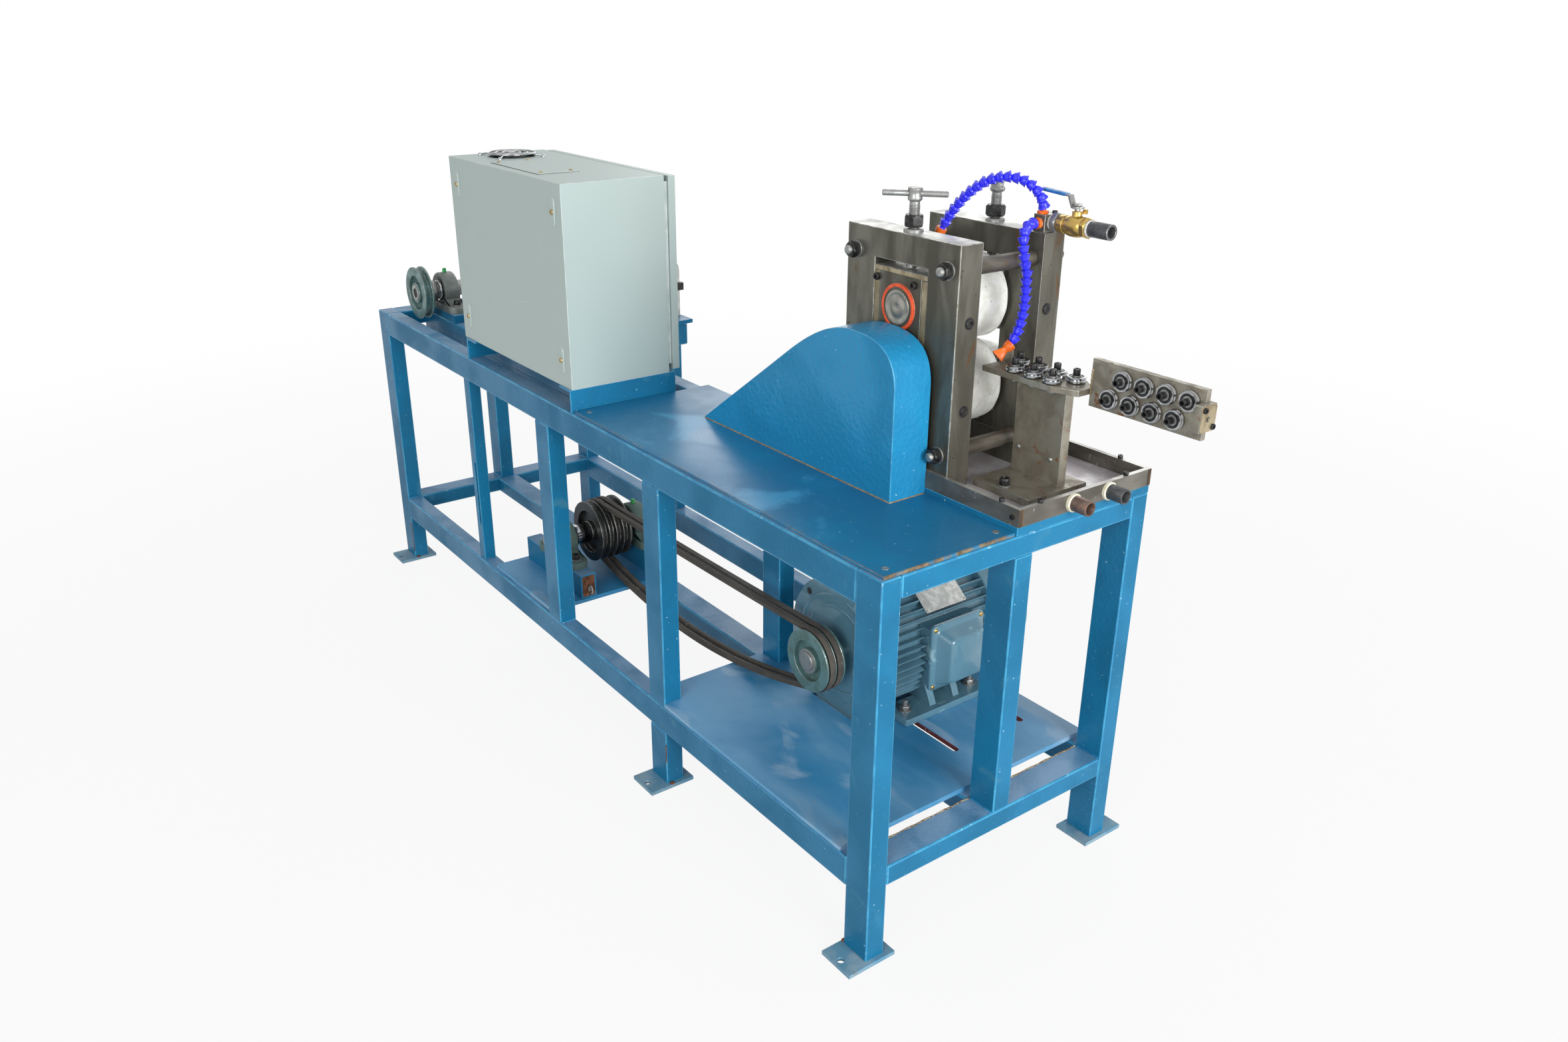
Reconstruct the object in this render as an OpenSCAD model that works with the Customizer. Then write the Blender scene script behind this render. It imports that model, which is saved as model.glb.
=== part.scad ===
// Wire flattening machine: a two-high rolling mill on a welded table,
// with wire straighteners, coolant hoses, a belt drive, a take-up shaft and a control cabinet.
// X runs along the machine, Y across it and Z up; the origin is on the floor,
// in the middle of the four corner anchor holes.

/* [Base frame] */
// Length of the base frame
base_l = 2100; // [2060:10:2200]
// Width of the base frame
base_w = 618; // [610:2:640]
// Height of the table rails
table_h = 732; // [700:2:780]
// Height of the lower rails
shelf_h = 192; // [180:2:220]
// Long side of the frame tube
tube_a = 60; // [50:1:60]
// Short side of the frame tube
tube_b = 40; // [36:1:44]
// How far the second near post starts left of the middle
post2_left = 108; // [90:2:120]
// Distance of the third post's start from the right end; it stands on the floor
post3_back = 702; // [690:2:720]
// Distance of the slim stays' start from the second near post
stay_back = 397; // [392:1:422]
// Width of the slim stays
stay_w = 30; // [25:1:36]
// Thickness of a foot plate
foot_t = 8; // [6:1:12]
// Length of a foot plate along the machine
foot_l = 75; // [70:1:90]
// How far a foot plate reaches outside the frame
foot_out = 42; // [38:1:50]
// Distance of an anchor hole from the frame
anchor_out = 30; // [26:1:30]
// Diameter of an anchor hole
anchor_d = 14; // [11:1:18]

/* [Plates] */
// Thickness of the shelf and of the countershaft plate
shelf_t = 10; // [8:1:12]
// Thickness of the table plate
table_t = 6; // [4:1:8]
// Thickness of the bed under the mill
bed_t = 16; // [12:1:20]
// Length of the bed under the mill
bed_l = 700; // [660:2:710]
// Height of the tray's rim
rim_h = 31; // [26:1:36]
// Thickness of the tray's rim
rim_t = 9; // [7:1:10]
// Thickness of the tray's floor
tray_t = 4; // [3:1:6]

/* [Mill] */
// Distance of the mill's middle from the right end
mill_back = 316; // [300:1:330]
// Width of a roll housing
house_w = 280; // [270:2:300]
// Thickness of a roll housing
house_t = 50; // [46:1:54]
// Height of a roll housing
house_h = 418; // [410:2:430]
// Clear width between the housings
house_gap = 143; // [138:1:150]
// Width of the window in a housing
win_w = 132; // [128:1:136]
// Diameter of a wrapped roll
roll_d = 148; // [144:1:149]
// Diameter of a roll neck
neck_d = 50; // [44:1:54]
// Height of the wire above the tray's floor
pass_h = 216; // [214:1:218]
// Length of a screw handle
handle_l = 110; // [100:2:130]

/* [Straighteners] */
// Diameter of a straightening roller
sr_d = 32; // [28:1:33]
// Width of a straightening roller
sr_w = 10; // [8:1:11]
// Pitch of the rollers in a row
sr_pitch = 41; // [40:1:42]
// Thickness of the straightener plates
plate_t = 10; // [8:1:12]

/* [Drive] */
// Distance of the motor's middle from the right end
motor_back = 430; // [420:1:440]
// Height of the motor shaft above its feet
motor_c = 132; // [130:1:136]
// Diameter of the motor pulley
mp_d = 129; // [120:1:140]
// Diameter of the countershaft pulley
cp_d = 150; // [140:1:160]
// Distance of the countershaft from the second near post
counter_back = 130; // [127:1:152]
// Pitch of the belt grooves
groove_p = 19; // [19:0.5:20]
// Diameter of the shafts in the pillow blocks
shaft_d = 40; // [36:1:42]
// Height of a pillow block's shaft above its foot
block_c = 49; // [48:1:52]
// Middle of the take-up shaft along the machine
takeup_x = 163; // [155:1:175]
// Diameter of the take-up pulley
tp_d = 134; // [124:1:135]

/* [Cabinet] */
// Distance of the cabinet's start from the second near post
cab_back = 354; // [342:1:362]
// Length of the cabinet
cab_l = 536; // [530:1:545]
// Depth of the cabinet without its door
cab_d = 234; // [226:1:238]
// Height of the cabinet
cab_h = 413; // [400:1:440]
// Height of the angles under the cabinet
seat_h = 50; // [45:1:60]

/* [Hidden] */
$fn = 64;

blue = [0.10, 0.42, 0.60];
steel = [0.45, 0.43, 0.40];
grey = [0.70, 0.75, 0.74];
cast = [0.36, 0.42, 0.40];
dark = [0.16, 0.16, 0.17];

// Rails and plates
y_mid = base_w/2;
x_end = base_l - tube_a;
y_far = base_w - tube_b;
shelf_z = shelf_h + shelf_t;
post2_x = base_l/2 - post2_left;
post3_x = base_l - post3_back;
stay_x = post2_x - stay_back;
stay_y = 5;
stay_slot = [95, 263];
bearer_y = 107;
bearer_w = 60;
cross_x = post2_x - cab_back + cab_l + 6;
far_end = stay_x + 55;
counter_l = 302;
run = 0.05;

// Tray and mill
bed_z = table_h + bed_t;
tray_z = bed_z + tray_t;
bed_x = base_l - bed_l;
mill_x = base_l - mill_back;
tray_x = base_l - 540;
tray_y1 = base_w - 2;
tray_y0 = tray_y1 - 330;
house_y0 = tray_y0 + rim_t;
house_y1 = house_y0 + house_t + house_gap;
wire_y = house_y0 + house_t + house_gap/2;
wire_z = tray_z + pass_h;
roll_rise = 77;
top_z = tray_z + house_h;
win_z0 = tray_z + 54;
win_z1 = top_z - 50;
chock_w = 106;
strip_w = (win_w - chock_w)/2;
chock_r = 55;
roll_l = house_gap - 14;
rod_dx = house_w/2 - 25;
rod_z = [tray_z + 59, top_z - 44];
screw_r = 9.5;
screw_y = [house_y0 + house_t/2, house_y1 + house_t/2];

// Guard over the roll drive
guard_y1 = tray_y0;
guard_y0 = guard_y1 - 82;
guard_z = table_h + table_t;
guard_x0 = cross_x + 180;
guard_x1 = mill_x + rod_dx - 16;
guard_l = guard_x1 - guard_x0;
guard_wall = 3;
gp_d = 150;

// Straighteners
flat_z = wire_z - sr_w/2 - 6;
flat_x0 = mill_x + 120;
flat_x1 = flat_x0 + 153;
edge_x0 = flat_x1 + 45;
edge_l = 213;
edge_y = wire_y + sr_w/2 + 4;
edge_h = 79;
row_off = sr_d/2 + 1.2;
brk_y = wire_y + 25;
brk_t = 14;

// Coolant
man_x = [mill_x + 112, mill_x + 137];
man_y = [house_y1, house_y1 + 38];
man_h = 30;
valve_y = house_y1 + 19;
valve_z = top_z + 17;
valve_x = man_x[1] + 51;
link_r = 9.5;
link_step = 13.4;
ball_r = 6.9;
socket_r = ball_r + 0.5;
neck_r = 4;
lip = 3.2;
curve_n = 40;

// Drive
motor_x = base_l - motor_back;
motor_z = shelf_z + motor_c;
motor_l = 310;
motor_foot_x = 108;
motor_foot_y = [89, 267];
flange_y = y_mid - 32;
mp_y = flange_y - 77;
shaft_end_y = mp_y - 3;
mp_w = groove_p + 25;
cp_y = mp_y - groove_p;
cp_w = 3*groove_p + 25;
belt_h = 11;
groove_d = 13;
stand_h = 60;
stand_l = 286;
counter_x = post2_x - counter_back;
counter_z = shelf_z + stand_h + block_c;
stand_y = [mp_y - 110, mp_y + 90];
cb_y = [stand_y[0] + 20, stand_y[1] + 20];
pad_h = 20;
takeup_z = table_h + pad_h + block_c;
tb_y = [bearer_y + 27, y_mid];

// Cabinet
cab_z = table_h + seat_h;
cab_y = 4;
cab_x = post2_x - cab_back;
cab_x1 = cab_x + cab_l;
cab_y1 = cab_y + cab_d;
door_gap = 10;
door_t = 16;
door_y = cab_y1 + door_gap;
hinge_x = cab_x + 10;
hinge_y = door_y + door_t/2;
sheet = 3;

// Moves the frame's near left corner to the shared origin
module placed() {
    translate([-base_l/2, -base_w/2, 0]) children();
}

// Box between two corners
module block(a, b) {
    translate(a) cube(b - a);
}

// Round bars along each axis
module bar_x(x0, x1, y, z, r) {
    translate([x0, y, z]) rotate([0, 90, 0]) cylinder(r = r, h = x1 - x0);
}
module bar_y(y0, y1, x, z, r) {
    translate([x, y0, z]) rotate([-90, 0, 0]) cylinder(r = r, h = y1 - y0);
}
module bar_z(z0, z1, x, y, r) {
    translate([x, y, z0]) cylinder(r = r, h = z1 - z0);
}

// Upright frame tube
module post(x, y, z0, z1) {
    block([x, y, z0], [x + tube_a, y + tube_b, z1]);
}

// Uprights: four full corner posts, posts between the rails, stub legs and slim stays
module posts() {
    color(blue) placed() {
        for (x = [0, x_end], y = [0, y_far]) post(x, y, foot_t, table_h);
        for (x = [0, x_end]) post(x, y_mid - tube_b/2, shelf_h, table_h - tube_b);
        post(post3_x, y_mid - tube_b/2, shelf_h, table_h - tube_a);
        post(post2_x, 0, shelf_h, table_h - tube_a);
        for (y = [0, y_far]) {
            post(post3_x, y, shelf_h, table_h - tube_a);
            post(post3_x, y, foot_t, shelf_h - tube_a);
        }
        for (y = [stay_y, base_w - stay_y - stay_w]) difference() {
            block([stay_x, y, shelf_h], [stay_x + stay_w, y + stay_w, table_h - tube_a]);
            block([stay_x + stay_w - 14, y - 1, shelf_h + stay_slot[0]],
                [stay_x + stay_w - 5, y + stay_w/2, shelf_h + stay_slot[1]]);
        }
    }
}

// Rails along the machine
module side_rails() {
    color(blue) placed() {
        for (y = [0, y_far]) block([tube_a, y, shelf_h - tube_a], [x_end, y + tube_b, shelf_h]);
        block([tube_a, 0, table_h - tube_a], [x_end, tube_b, table_h]);
        block([post3_x, y_far, table_h - tube_a], [x_end, base_w, table_h]);
        block([tube_a, y_far, table_h - tube_a], [far_end, base_w, table_h]);
        block([tube_a, y_mid - tube_b/2, table_h - tube_a], [x_end, y_mid + tube_b/2, table_h]);
        block([tube_a, y_mid - tube_a/2, shelf_h - tube_b], [x_end, y_mid + tube_a/2, shelf_h]);
        block([tube_a, bearer_y, table_h - tube_b], [cross_x, bearer_y + bearer_w, table_h]);
    }
}

// Rails across the machine
module end_rails() {
    color(blue) placed() {
        for (x = [0, x_end], z = [shelf_h, table_h])
            block([x, tube_b, z - tube_b], [x + tube_a, y_far, z]);
        block([cross_x, tube_b, table_h - tube_b], [cross_x + tube_a, y_mid - tube_b/2, table_h]);
    }
}

// One foot plate with its anchor hole; side is -1 at the near face and 1 at the far face
module foot(x, side) {
    y_face = side < 0 ? 0 : base_w;
    y_in = y_face - side*(tube_b + 20);
    y_out = y_face + side*foot_out;
    xc = x + tube_a/2;
    difference() {
        block([xc - foot_l/2, min(y_in, y_out), 0], [xc + foot_l/2, max(y_in, y_out), foot_t]);
        bar_z(-1, foot_t + 1, xc, y_face + side*anchor_out, anchor_d/2);
    }
}

// Six floor plates with an anchor hole each
module foot_plates() {
    color(blue) placed() {
        for (x = [0, post3_x, x_end], s = [-1, 1]) foot(x, s);
    }
}

// Slot along X with round ends
module slot_x(x0, x1, y, z0, z1, r) {
    block([x0, y - r, z0], [x1, y + r, z1]);
    bar_z(z0, z1, x0, y, r);
    bar_z(z0, z1, x1, y, r);
}

// Shelf under the motor, with adjusting slots and a slot for the motor's flange
module shelf_plate() {
    color(blue) placed() difference() {
        block([post3_x, 0, shelf_h], [x_end - 18, base_w, shelf_z]);
        for (y = [-1, y_mid - tube_b/2 - 1, y_far]) block([post3_x - 1, y, shelf_h - 1],
            [post3_x + tube_a, y + tube_b + 1, shelf_z + 1]);
        for (y = motor_foot_y, s = [-1, 1]) let (x = motor_x + s*motor_foot_x)
            slot_x(x - 45, x + 145, flange_y + y, shelf_h - 1, shelf_z + 1, 7);
        block([motor_x - 82, flange_y - 6, shelf_h - 1], [motor_x + 82, flange_y + 22, shelf_z + 1]);
    }
}

// Plate under the countershaft
module counter_plate() {
    color(blue) placed() block([post2_x - 2 - counter_l, 8, shelf_h], [post2_x - 2, y_mid + tube_a/2, shelf_z]);
}

// Two tube stands, open at their ends
module counter_stands() {
    color(blue) placed() for (y = stand_y) difference() {
        block([post2_x - 4 - stand_l, y, shelf_z], [post2_x - 4, y + tube_b, shelf_z + stand_h]);
        block([post2_x - 5 - stand_l, y + 4, shelf_z + 4],
            [post2_x - 3, y + tube_b - 4, shelf_z + stand_h - 4]);
    }
}

// Table plate with the slot that the roll belt passes through
module table_plate() {
    color(blue) placed() difference() {
        union() {
            block([cross_x - 4, 6, table_h], [base_l - 4, tray_y0, table_h + table_t]);
            block([cross_x - 4, tray_y0, table_h], [bed_x, y_mid + 27, table_h + table_t]);
        }
        block([guard_x0 + 60, guard_y0 + 16, table_h - 1],
            [guard_x1 - 20, guard_y1 - 14, table_h + table_t + 1]);
    }
}

// Thick bed under the mill
module bed_plate() {
    color(blue) placed() block([bed_x, tray_y0, table_h], [base_l, base_w, bed_z]);
}

// Coolant tray of flat bar, with two drain holes in its right side
module tray() {
    color(steel) placed() difference() {
        block([tray_x, tray_y0, bed_z], [base_l + 2, tray_y1, bed_z + rim_h]);
        block([tray_x + rim_t, house_y0, tray_z], [base_l + 2 - rim_t, tray_y1 - rim_t, bed_z + rim_h + 1]);
        for (y = [wire_y - 4, wire_y + 86]) bar_x(base_l - rim_t - 1, base_l + 3, y, bed_z + rim_h/2, 9);
    }
}

// Two drain pipes
module drain_pipes() {
    color(steel) placed() for (y = [wire_y - 4, wire_y + 86]) difference() {
        bar_x(base_l + 2, base_l + 40, y, bed_z + rim_h/2, 13.5);
        bar_x(base_l + 1, base_l + 41, y, bed_z + rim_h/2, 10);
    }
}

// Side outline of the guard: a round head, a straight right edge and a long slope to the left
function arc(cx, cz, r, a0, a1, n) = [for (i = [0:n]) let (a = a0 + (a1 - a0)*i/n)
    [cx + r*cos(a), cz + r*sin(a)]];
function bez(p, t) = pow(1 - t, 3)*p[0] + 3*t*pow(1 - t, 2)*p[1] + 3*t*t*(1 - t)*p[2] + t*t*t*p[3];
function guard_at(d) = guard_x1 - d*guard_l/573;
function guard_line(w) = concat(
    [[guard_x1 - w, guard_z - (w > 0 ? 1 : 0)]],
    [for (i = [0:8]) bez([[guard_x1 - w, guard_z + 190], [guard_x1 - w, guard_z + 262 - w],
        [guard_at(45), guard_z + 278 - w], [guard_at(113), guard_z + 278 - w]], i/8)],
    [for (i = [1:8]) bez([[guard_at(113), guard_z + 278 - w], [guard_at(190), guard_z + 278 - w],
        [guard_at(260), guard_z + 226 - w], [guard_at(336), guard_z + 170 - w]], i/8)],
    [[guard_x0 + w*1.75, guard_z - (w > 0 ? 1 : 0)]]);

// Guard over the roll drive, open below, with holes for the roll neck and a tie rod nut
module belt_guard() {
    color(blue) placed() difference() {
        translate([0, guard_y1, 0]) rotate([90, 0, 0])
            linear_extrude(guard_y1 - guard_y0) polygon(guard_line(0));
        translate([0, guard_y1 - guard_wall, 0]) rotate([90, 0, 0])
            linear_extrude(guard_y1 - guard_y0 - 2*guard_wall) polygon(guard_line(guard_wall));
        bar_y(guard_y1 - 10, guard_y1 + 1, mill_x, wire_z - roll_rise, neck_d/2 + 6);
        bar_y(guard_y1 - 10, guard_y1 + 1, mill_x - rod_dx, rod_z[0], 21);
    }
}

// One roll housing with its window and the bore of its screw
module housing(y) {
    difference() {
        block([mill_x - house_w/2, y, tray_z], [mill_x + house_w/2, y + house_t, top_z]);
        block([mill_x - win_w/2, y - 1, win_z0], [mill_x + win_w/2, y + house_t + 1, win_z1]);
        bar_z(win_z1 - 1, top_z + 1, mill_x, y + house_t/2, screw_r + run);
    }
}
module near_housing() {
    color(steel) placed() housing(house_y0);
}
module rear_housing() {
    color(steel) placed() housing(house_y1);
}

// Spacer bars between the housings, with washers, nuts and stud ends on both outer faces
module tie_rods() {
    color(dark) placed() for (dx = [-rod_dx, rod_dx], z = rod_z) {
        bar_y(house_y0 + house_t, house_y1, mill_x + dx, z, 14);
        for (s = [-1, 1]) let (y = s < 0 ? house_y0 : house_y1 + house_t)
            translate([mill_x + dx, y, z]) rotate([-90*s, 0, 0]) {
                cylinder(r = 15.5, h = 3);
                translate([0, 0, 3]) cylinder(r = 14.5, h = 14, $fn = 6);
                translate([0, 0, 17]) cylinder(r = 8, h = 7);
            }
    }
}

// Two bearing chocks in one housing window, with wear strips and seal rings
module chocks(y, face) {
    for (s = [-1, 1]) {
        z = wire_z + s*roll_rise;
        difference() {
            union() {
                block([mill_x - chock_w/2, y, z - chock_r], [mill_x + chock_w/2, y + house_t, z + chock_r]);
                if (s > 0) block([mill_x - win_w/2, y, z + chock_r],
                    [mill_x + win_w/2, y + house_t, z + chock_r + 8]);
                translate([mill_x, face < 0 ? y : y + house_t, z]) rotate([-90*face, 0, 0]) difference() {
                    cylinder(r = 40, h = 4);
                    translate([0, 0, -1]) cylinder(r = neck_d/2 + 5, h = 6);
                }
            }
            bar_y(y - 1, y + house_t + 1, mill_x, z, neck_d/2 + run);
        }
    }
    for (s = [-1, 1]) translate([mill_x + s*(chock_w + strip_w)/2, y, 0])
        block([-strip_w/2, 2, win_z0], [strip_w/2, house_t - 2, wire_z + roll_rise + chock_r]);
    block([mill_x - chock_w/2, y + 4, win_z0],
        [mill_x + chock_w/2, y + house_t - 4, wire_z - roll_rise - chock_r]);
}
module near_chocks() {
    color(steel) placed() chocks(house_y0, -1);
}
module rear_chocks() {
    color(steel) placed() chocks(house_y1, 1);
}

// Roll with its wrapping, and necks through the chocks
module roll(z, y0, y1) {
    bar_y(wire_y - roll_l/2, wire_y + roll_l/2, mill_x, z, roll_d/2);
    bar_y(y0, y1, mill_x, z, neck_d/2);
}
module upper_roll() {
    color("gainsboro") placed() roll(wire_z + roll_rise, house_y0 - 3, house_y1 + house_t + 3);
}

// Lower roll with the driven pulley inside the guard
module lower_roll() {
    color("gainsboro") placed() {
        roll(wire_z - roll_rise, guard_y0 + 14, house_y1 + house_t + 3);
        translate([mill_x, guard_y0 + 16, wire_z - roll_rise]) pulley(gp_d/2, 2, groove_p + 25);
    }
}

// Adjusting screw with lock nut, hub and cross handle
module screw(y, turn) {
    translate([mill_x, y, 0]) {
        translate([0, 0, win_z1 - 11]) cylinder(r = screw_r, h = top_z + 54 - win_z1 + 11);
        translate([0, 0, top_z + 8]) cylinder(r = 17.3, h = 20, $fn = 6);
        translate([0, 0, top_z + 52]) cylinder(r = 12.5, h = 20);
        rotate([0, 0, turn]) bar_x(-handle_l/2, handle_l/2, 0, top_z + 62, 5);
    }
}
module near_screw() {
    color("silver") placed() screw(screw_y[0], 42);
}
module rear_screw() {
    color("silver") placed() screw(screw_y[1], -37);
}

// Base plate and double upright that carry the flat straightener
module bracket() {
    color(steel) placed() {
        block([flat_x0 + 24, wire_y - 62, tray_z], [flat_x1 + 2, wire_y + 81, tray_z + brk_t]);
        block([flat_x0 + 30, brk_y, tray_z + brk_t], [flat_x1 - 15, brk_y + 10, flat_z - plate_t]);
        block([flat_x0 + 30, brk_y + 10, tray_z + brk_t], [flat_x1 - 15, brk_y + 20, flat_z - plate_t]);
    }
}

// Level straightener plate with a tapered tab
module flat_straightener() {
    color(steel) placed() translate([0, 0, flat_z - plate_t]) linear_extrude(plate_t) polygon([
        [flat_x0, wire_y - 34], [flat_x1, wire_y - 34], [edge_x0, wire_y - 18],
        [edge_x0, edge_y + plate_t], [flat_x1, brk_y + 22], [flat_x0, brk_y + 22]]);
}

// Grooved roller with its screw, standing on a plate; the axis is Z
module roller() {
    rotate_extrude() polygon([[0, 0], [6, 0], [6, 1], [sr_d/2, 1], [sr_d/2, sr_w/2 - 1],
        [sr_d/2 - 2, sr_w/2 + 1], [sr_d/2, sr_w/2 + 3], [sr_d/2, sr_w + 1],
        [8, sr_w + 1], [8, sr_w + 13], [0, sr_w + 13]]);
}

// Level rollers, three in front of the wire and four behind it
module flat_rollers() {
    color("silver") placed() {
        for (i = [0:2]) translate([flat_x0 + 59 + i*sr_pitch, wire_y - row_off, flat_z]) roller();
        for (i = [0:3]) translate([flat_x0 + 38.5 + i*sr_pitch, wire_y + row_off, flat_z]) roller();
    }
}

// Upright straightener plate with an inlet guide block
module edge_straightener() {
    color(steel) placed() {
        block([edge_x0, edge_y, wire_z - edge_h/2],
            [edge_x0 + edge_l, edge_y + plate_t, wire_z + edge_h/2]);
        difference() {
            block([edge_x0 + edge_l, edge_y - 26, wire_z - 20],
                [edge_x0 + edge_l + 12, edge_y + plate_t, wire_z + 22]);
            bar_x(edge_x0 + edge_l - 1, edge_x0 + edge_l + 13, wire_y, wire_z, 4);
        }
    }
}

// Upright rollers in two rows of four
module edge_rollers() {
    color("silver") placed() {
        for (i = [0:3], s = [-1, 1])
            translate([edge_x0 + 54 + s*11 + i*sr_pitch, edge_y, wire_z + s*row_off])
                rotate([90, 0, 0]) roller();
    }
}

// Outlet guide block with its cap screw on the level plate
module wire_guide() {
    color(steel) placed() {
        block([flat_x0 + 2, wire_y + 4, flat_z], [flat_x0 + 16, wire_y + 24, flat_z + 24]);
        bar_z(flat_z + 24, flat_z + 32, flat_x0 + 9, wire_y + 14, 3);
        bar_z(flat_z + 32, flat_z + 40, flat_x0 + 9, wire_y + 14, 5);
    }
}

// Coolant block on top of the rear housing
module manifold() {
    color(steel) placed() block([man_x[0], man_y[0], top_z], [man_x[1], man_y[1], top_z + man_h]);
}

// Ball valve in line with the coolant block
module valve_body() {
    color("goldenrod") placed() {
        bar_x(man_x[1], man_x[1] + 22, valve_y, valve_z, 12.5);
        translate([man_x[1] + 16, valve_y, valve_z]) rotate([0, 90, 0]) cylinder(r = 18, h = 6, $fn = 6);
        bar_x(man_x[1] + 22, man_x[1] + 42, valve_y, valve_z, 15);
        translate([valve_x, valve_y, valve_z]) sphere(r = 18);
        bar_x(valve_x + 9, valve_x + 20, valve_y, valve_z, 15);
        translate([valve_x + 18, valve_y, valve_z]) rotate([0, 90, 0]) cylinder(r = 18, h = 10, $fn = 6);
        bar_z(valve_z, valve_z + 24, valve_x, valve_y, 8);
        bar_z(valve_z, valve_z + 36, valve_x, valve_y, 4);
    }
}

// Cranked lever on the valve stem
module valve_lever() {
    color([0.16, 0.5, 0.8]) placed() translate([valve_x, valve_y, valve_z + 29]) difference() {
        union() {
            cylinder(r = 11, h = 3);
            rotate([90, 0, 0]) translate([0, 0, -5.5]) linear_extrude(11) polygon([
                [0, 0], [0, 3], [-8, 3], [-16, 20], [-80, 24], [-80, 21], [-18.8, 17], [-10.5, 0]]);
        }
        translate([0, 0, -1]) cylinder(r = 4 + run, h = 8);
    }
}

// Inlet pipe end
module inlet_pipe() {
    color(dark) placed() difference() {
        bar_x(valve_x + 28, valve_x + 74, valve_y, valve_z, 13);
        bar_x(valve_x + 30, valve_x + 75, valve_y, valve_z, 9.5);
    }
}

// Points about one link apart along a curve, found from the curve's running length
function run_to(p, k) = k == 0 ? 0 : run_to(p, k - 1) + norm(bez(p, k/curve_n) - bez(p, (k - 1)/curve_n));
function even(p) = let (
    s = [for (k = [0:curve_n]) run_to(p, k)],
    m = floor(s[curve_n]/link_step))
    [for (i = [0:m]) let (
        d = s[curve_n]*i/m,
        k = max([for (j = [0:curve_n - 1]) if (s[j] <= d) j]))
        bez(p, (k + (d - s[k])/(s[k + 1] - s[k]))/curve_n)];

// Children stand at p with their Z axis along u
module aim(p, u) {
    translate(p) rotate([0, acos(u[2]/norm(u)), atan2(u[1], u[0])]) children();
}

// Outlines of a ball at height d, from its neck to its pole, and of the socket around the origin
function ball_line(d) = arc(0, d, ball_r, -acos(neck_r/ball_r), 90, 4);
function socket_line() = arc(0, 0, socket_r, 90, -asin(lip/socket_r), 4);

// Hose link: a socket at the origin that holds the last ball, a neck, and a ball one step further on
module link(d) {
    rotate_extrude() polygon(concat(socket_line(), [[link_r, -lip], [link_r - 0.4, 3]],
        ball_line(d)));
}

// Links from point to point
module links(p) {
    for (i = [0:len(p) - 2]) aim(p[i], p[i + 1] - p[i]) link(norm(p[i + 1] - p[i]));
}

// Screwed-in fitting with the first ball at height d
module fitting(d) {
    rotate_extrude() polygon(concat([[0, 0], [8.5, 0], [8.5, 4], [neck_r, 4]], ball_line(d)));
}

// Socket of a nozzle, closed at its front
module nozzle_socket(h) {
    rotate_extrude() polygon(concat(socket_line(), [[link_r, -lip], [link_r, 3], [5, h], [0, h]]));
}

// Hose from the coolant block's near face around a tie rod to a flat nozzle at the wire's outlet
module nozzle_hose() {
    seat = [man_x[0] + 12, man_y[0], top_z + 15];
    top = seat - [0, 16, 0];
    mid = [mill_x + rod_dx + 30, man_y[0] - 42, rod_z[1] - 16];
    tip = [mill_x + 144, wire_y + 3, flat_z + 38];
    high = even([top, top + [5, -34, -4], mid + [0, -14, 40], mid]);
    low = even([mid, mid + [0, 2, -40], tip + [3, 31, 30], tip]);
    color("blue") placed() {
        aim(seat, [0, -1, 0]) fitting(16);
        links(high);
        links(low);
        aim(tip, [-0.2, -0.75, -0.6]) {
            nozzle_socket(12);
            rotate([0, 0, 90]) translate([0, 2.5, 0]) rotate([90, 0, 0]) linear_extrude(5)
                polygon([[-5, 10], [5, 10], [12, 28], [-12, 28]]);
        }
    }
}

// Hose that arches from the coolant block's top to a round nozzle over the upper roll
module arch_hose() {
    seat = [man_x[0] + 12, man_y[0] + 8, top_z + man_h];
    start = seat + [0, 0, 14];
    tip = [mill_x - 12, wire_y - 21, top_z - 6];
    color("blue") placed() {
        aim(seat, [0, 0, 1]) fitting(14);
        links(even([start, start + [6, -22, 50], tip + [63, 25, 136], tip]));
        aim(tip, [-63, -25, -136]) nozzle_socket(24);
    }
}

// Cabinet shell, open at the back, with a rim, a fan hole and hinge arms
module cabinet() {
    color(grey) placed() {
        difference() {
            union() {
                block([cab_x, cab_y, cab_z], [cab_x1, cab_y1, cab_z + cab_h]);
                block([cab_x + 30, cab_y1, cab_z + 12], [cab_x1 - 12, cab_y1 + 5, cab_z + cab_h - 12]);
            }
            block([cab_x + sheet, cab_y + sheet, cab_z + sheet],
                [cab_x1 - sheet, cab_y1 - sheet, cab_z + cab_h - sheet]);
            block([cab_x + 33, cab_y1 - sheet - 1, cab_z + 15],
                [cab_x1 - 15, cab_y1 + 6, cab_z + cab_h - 15]);
            bar_z(cab_z + cab_h - 6, cab_z + cab_h + 1, cab_x + 75, cab_y + 118, 52);
        }
        block([cab_x + 170, cab_y + 26, cab_z + cab_h], [cab_x + 392, cab_y + 118, cab_z + cab_h + 2]);
        for (z = [cab_z + 70, cab_z + cab_h - 90]) {
            block([hinge_x - 4, cab_y1, z], [hinge_x + 4, hinge_y, z + 20]);
            bar_z(z, z + 20, hinge_x, hinge_y, 5);
            bar_z(z - 12, z + 32, hinge_x, hinge_y, 3);
        }
    }
}

// Cabinet door with notches around the hinge arms
module cabinet_door() {
    color(grey) placed() difference() {
        block([cab_x, door_y, cab_z + 6], [cab_x1, door_y + door_t, cab_z + cab_h - 2]);
        for (z = [cab_z + 70, cab_z + cab_h - 90]) {
            block([cab_x - 1, door_y - 1, z - 1], [hinge_x + 8, door_y + door_t + 1, z + 21]);
            bar_z(z - 13, z + 33, hinge_x, hinge_y, 3 + run);
        }
    }
}

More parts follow.
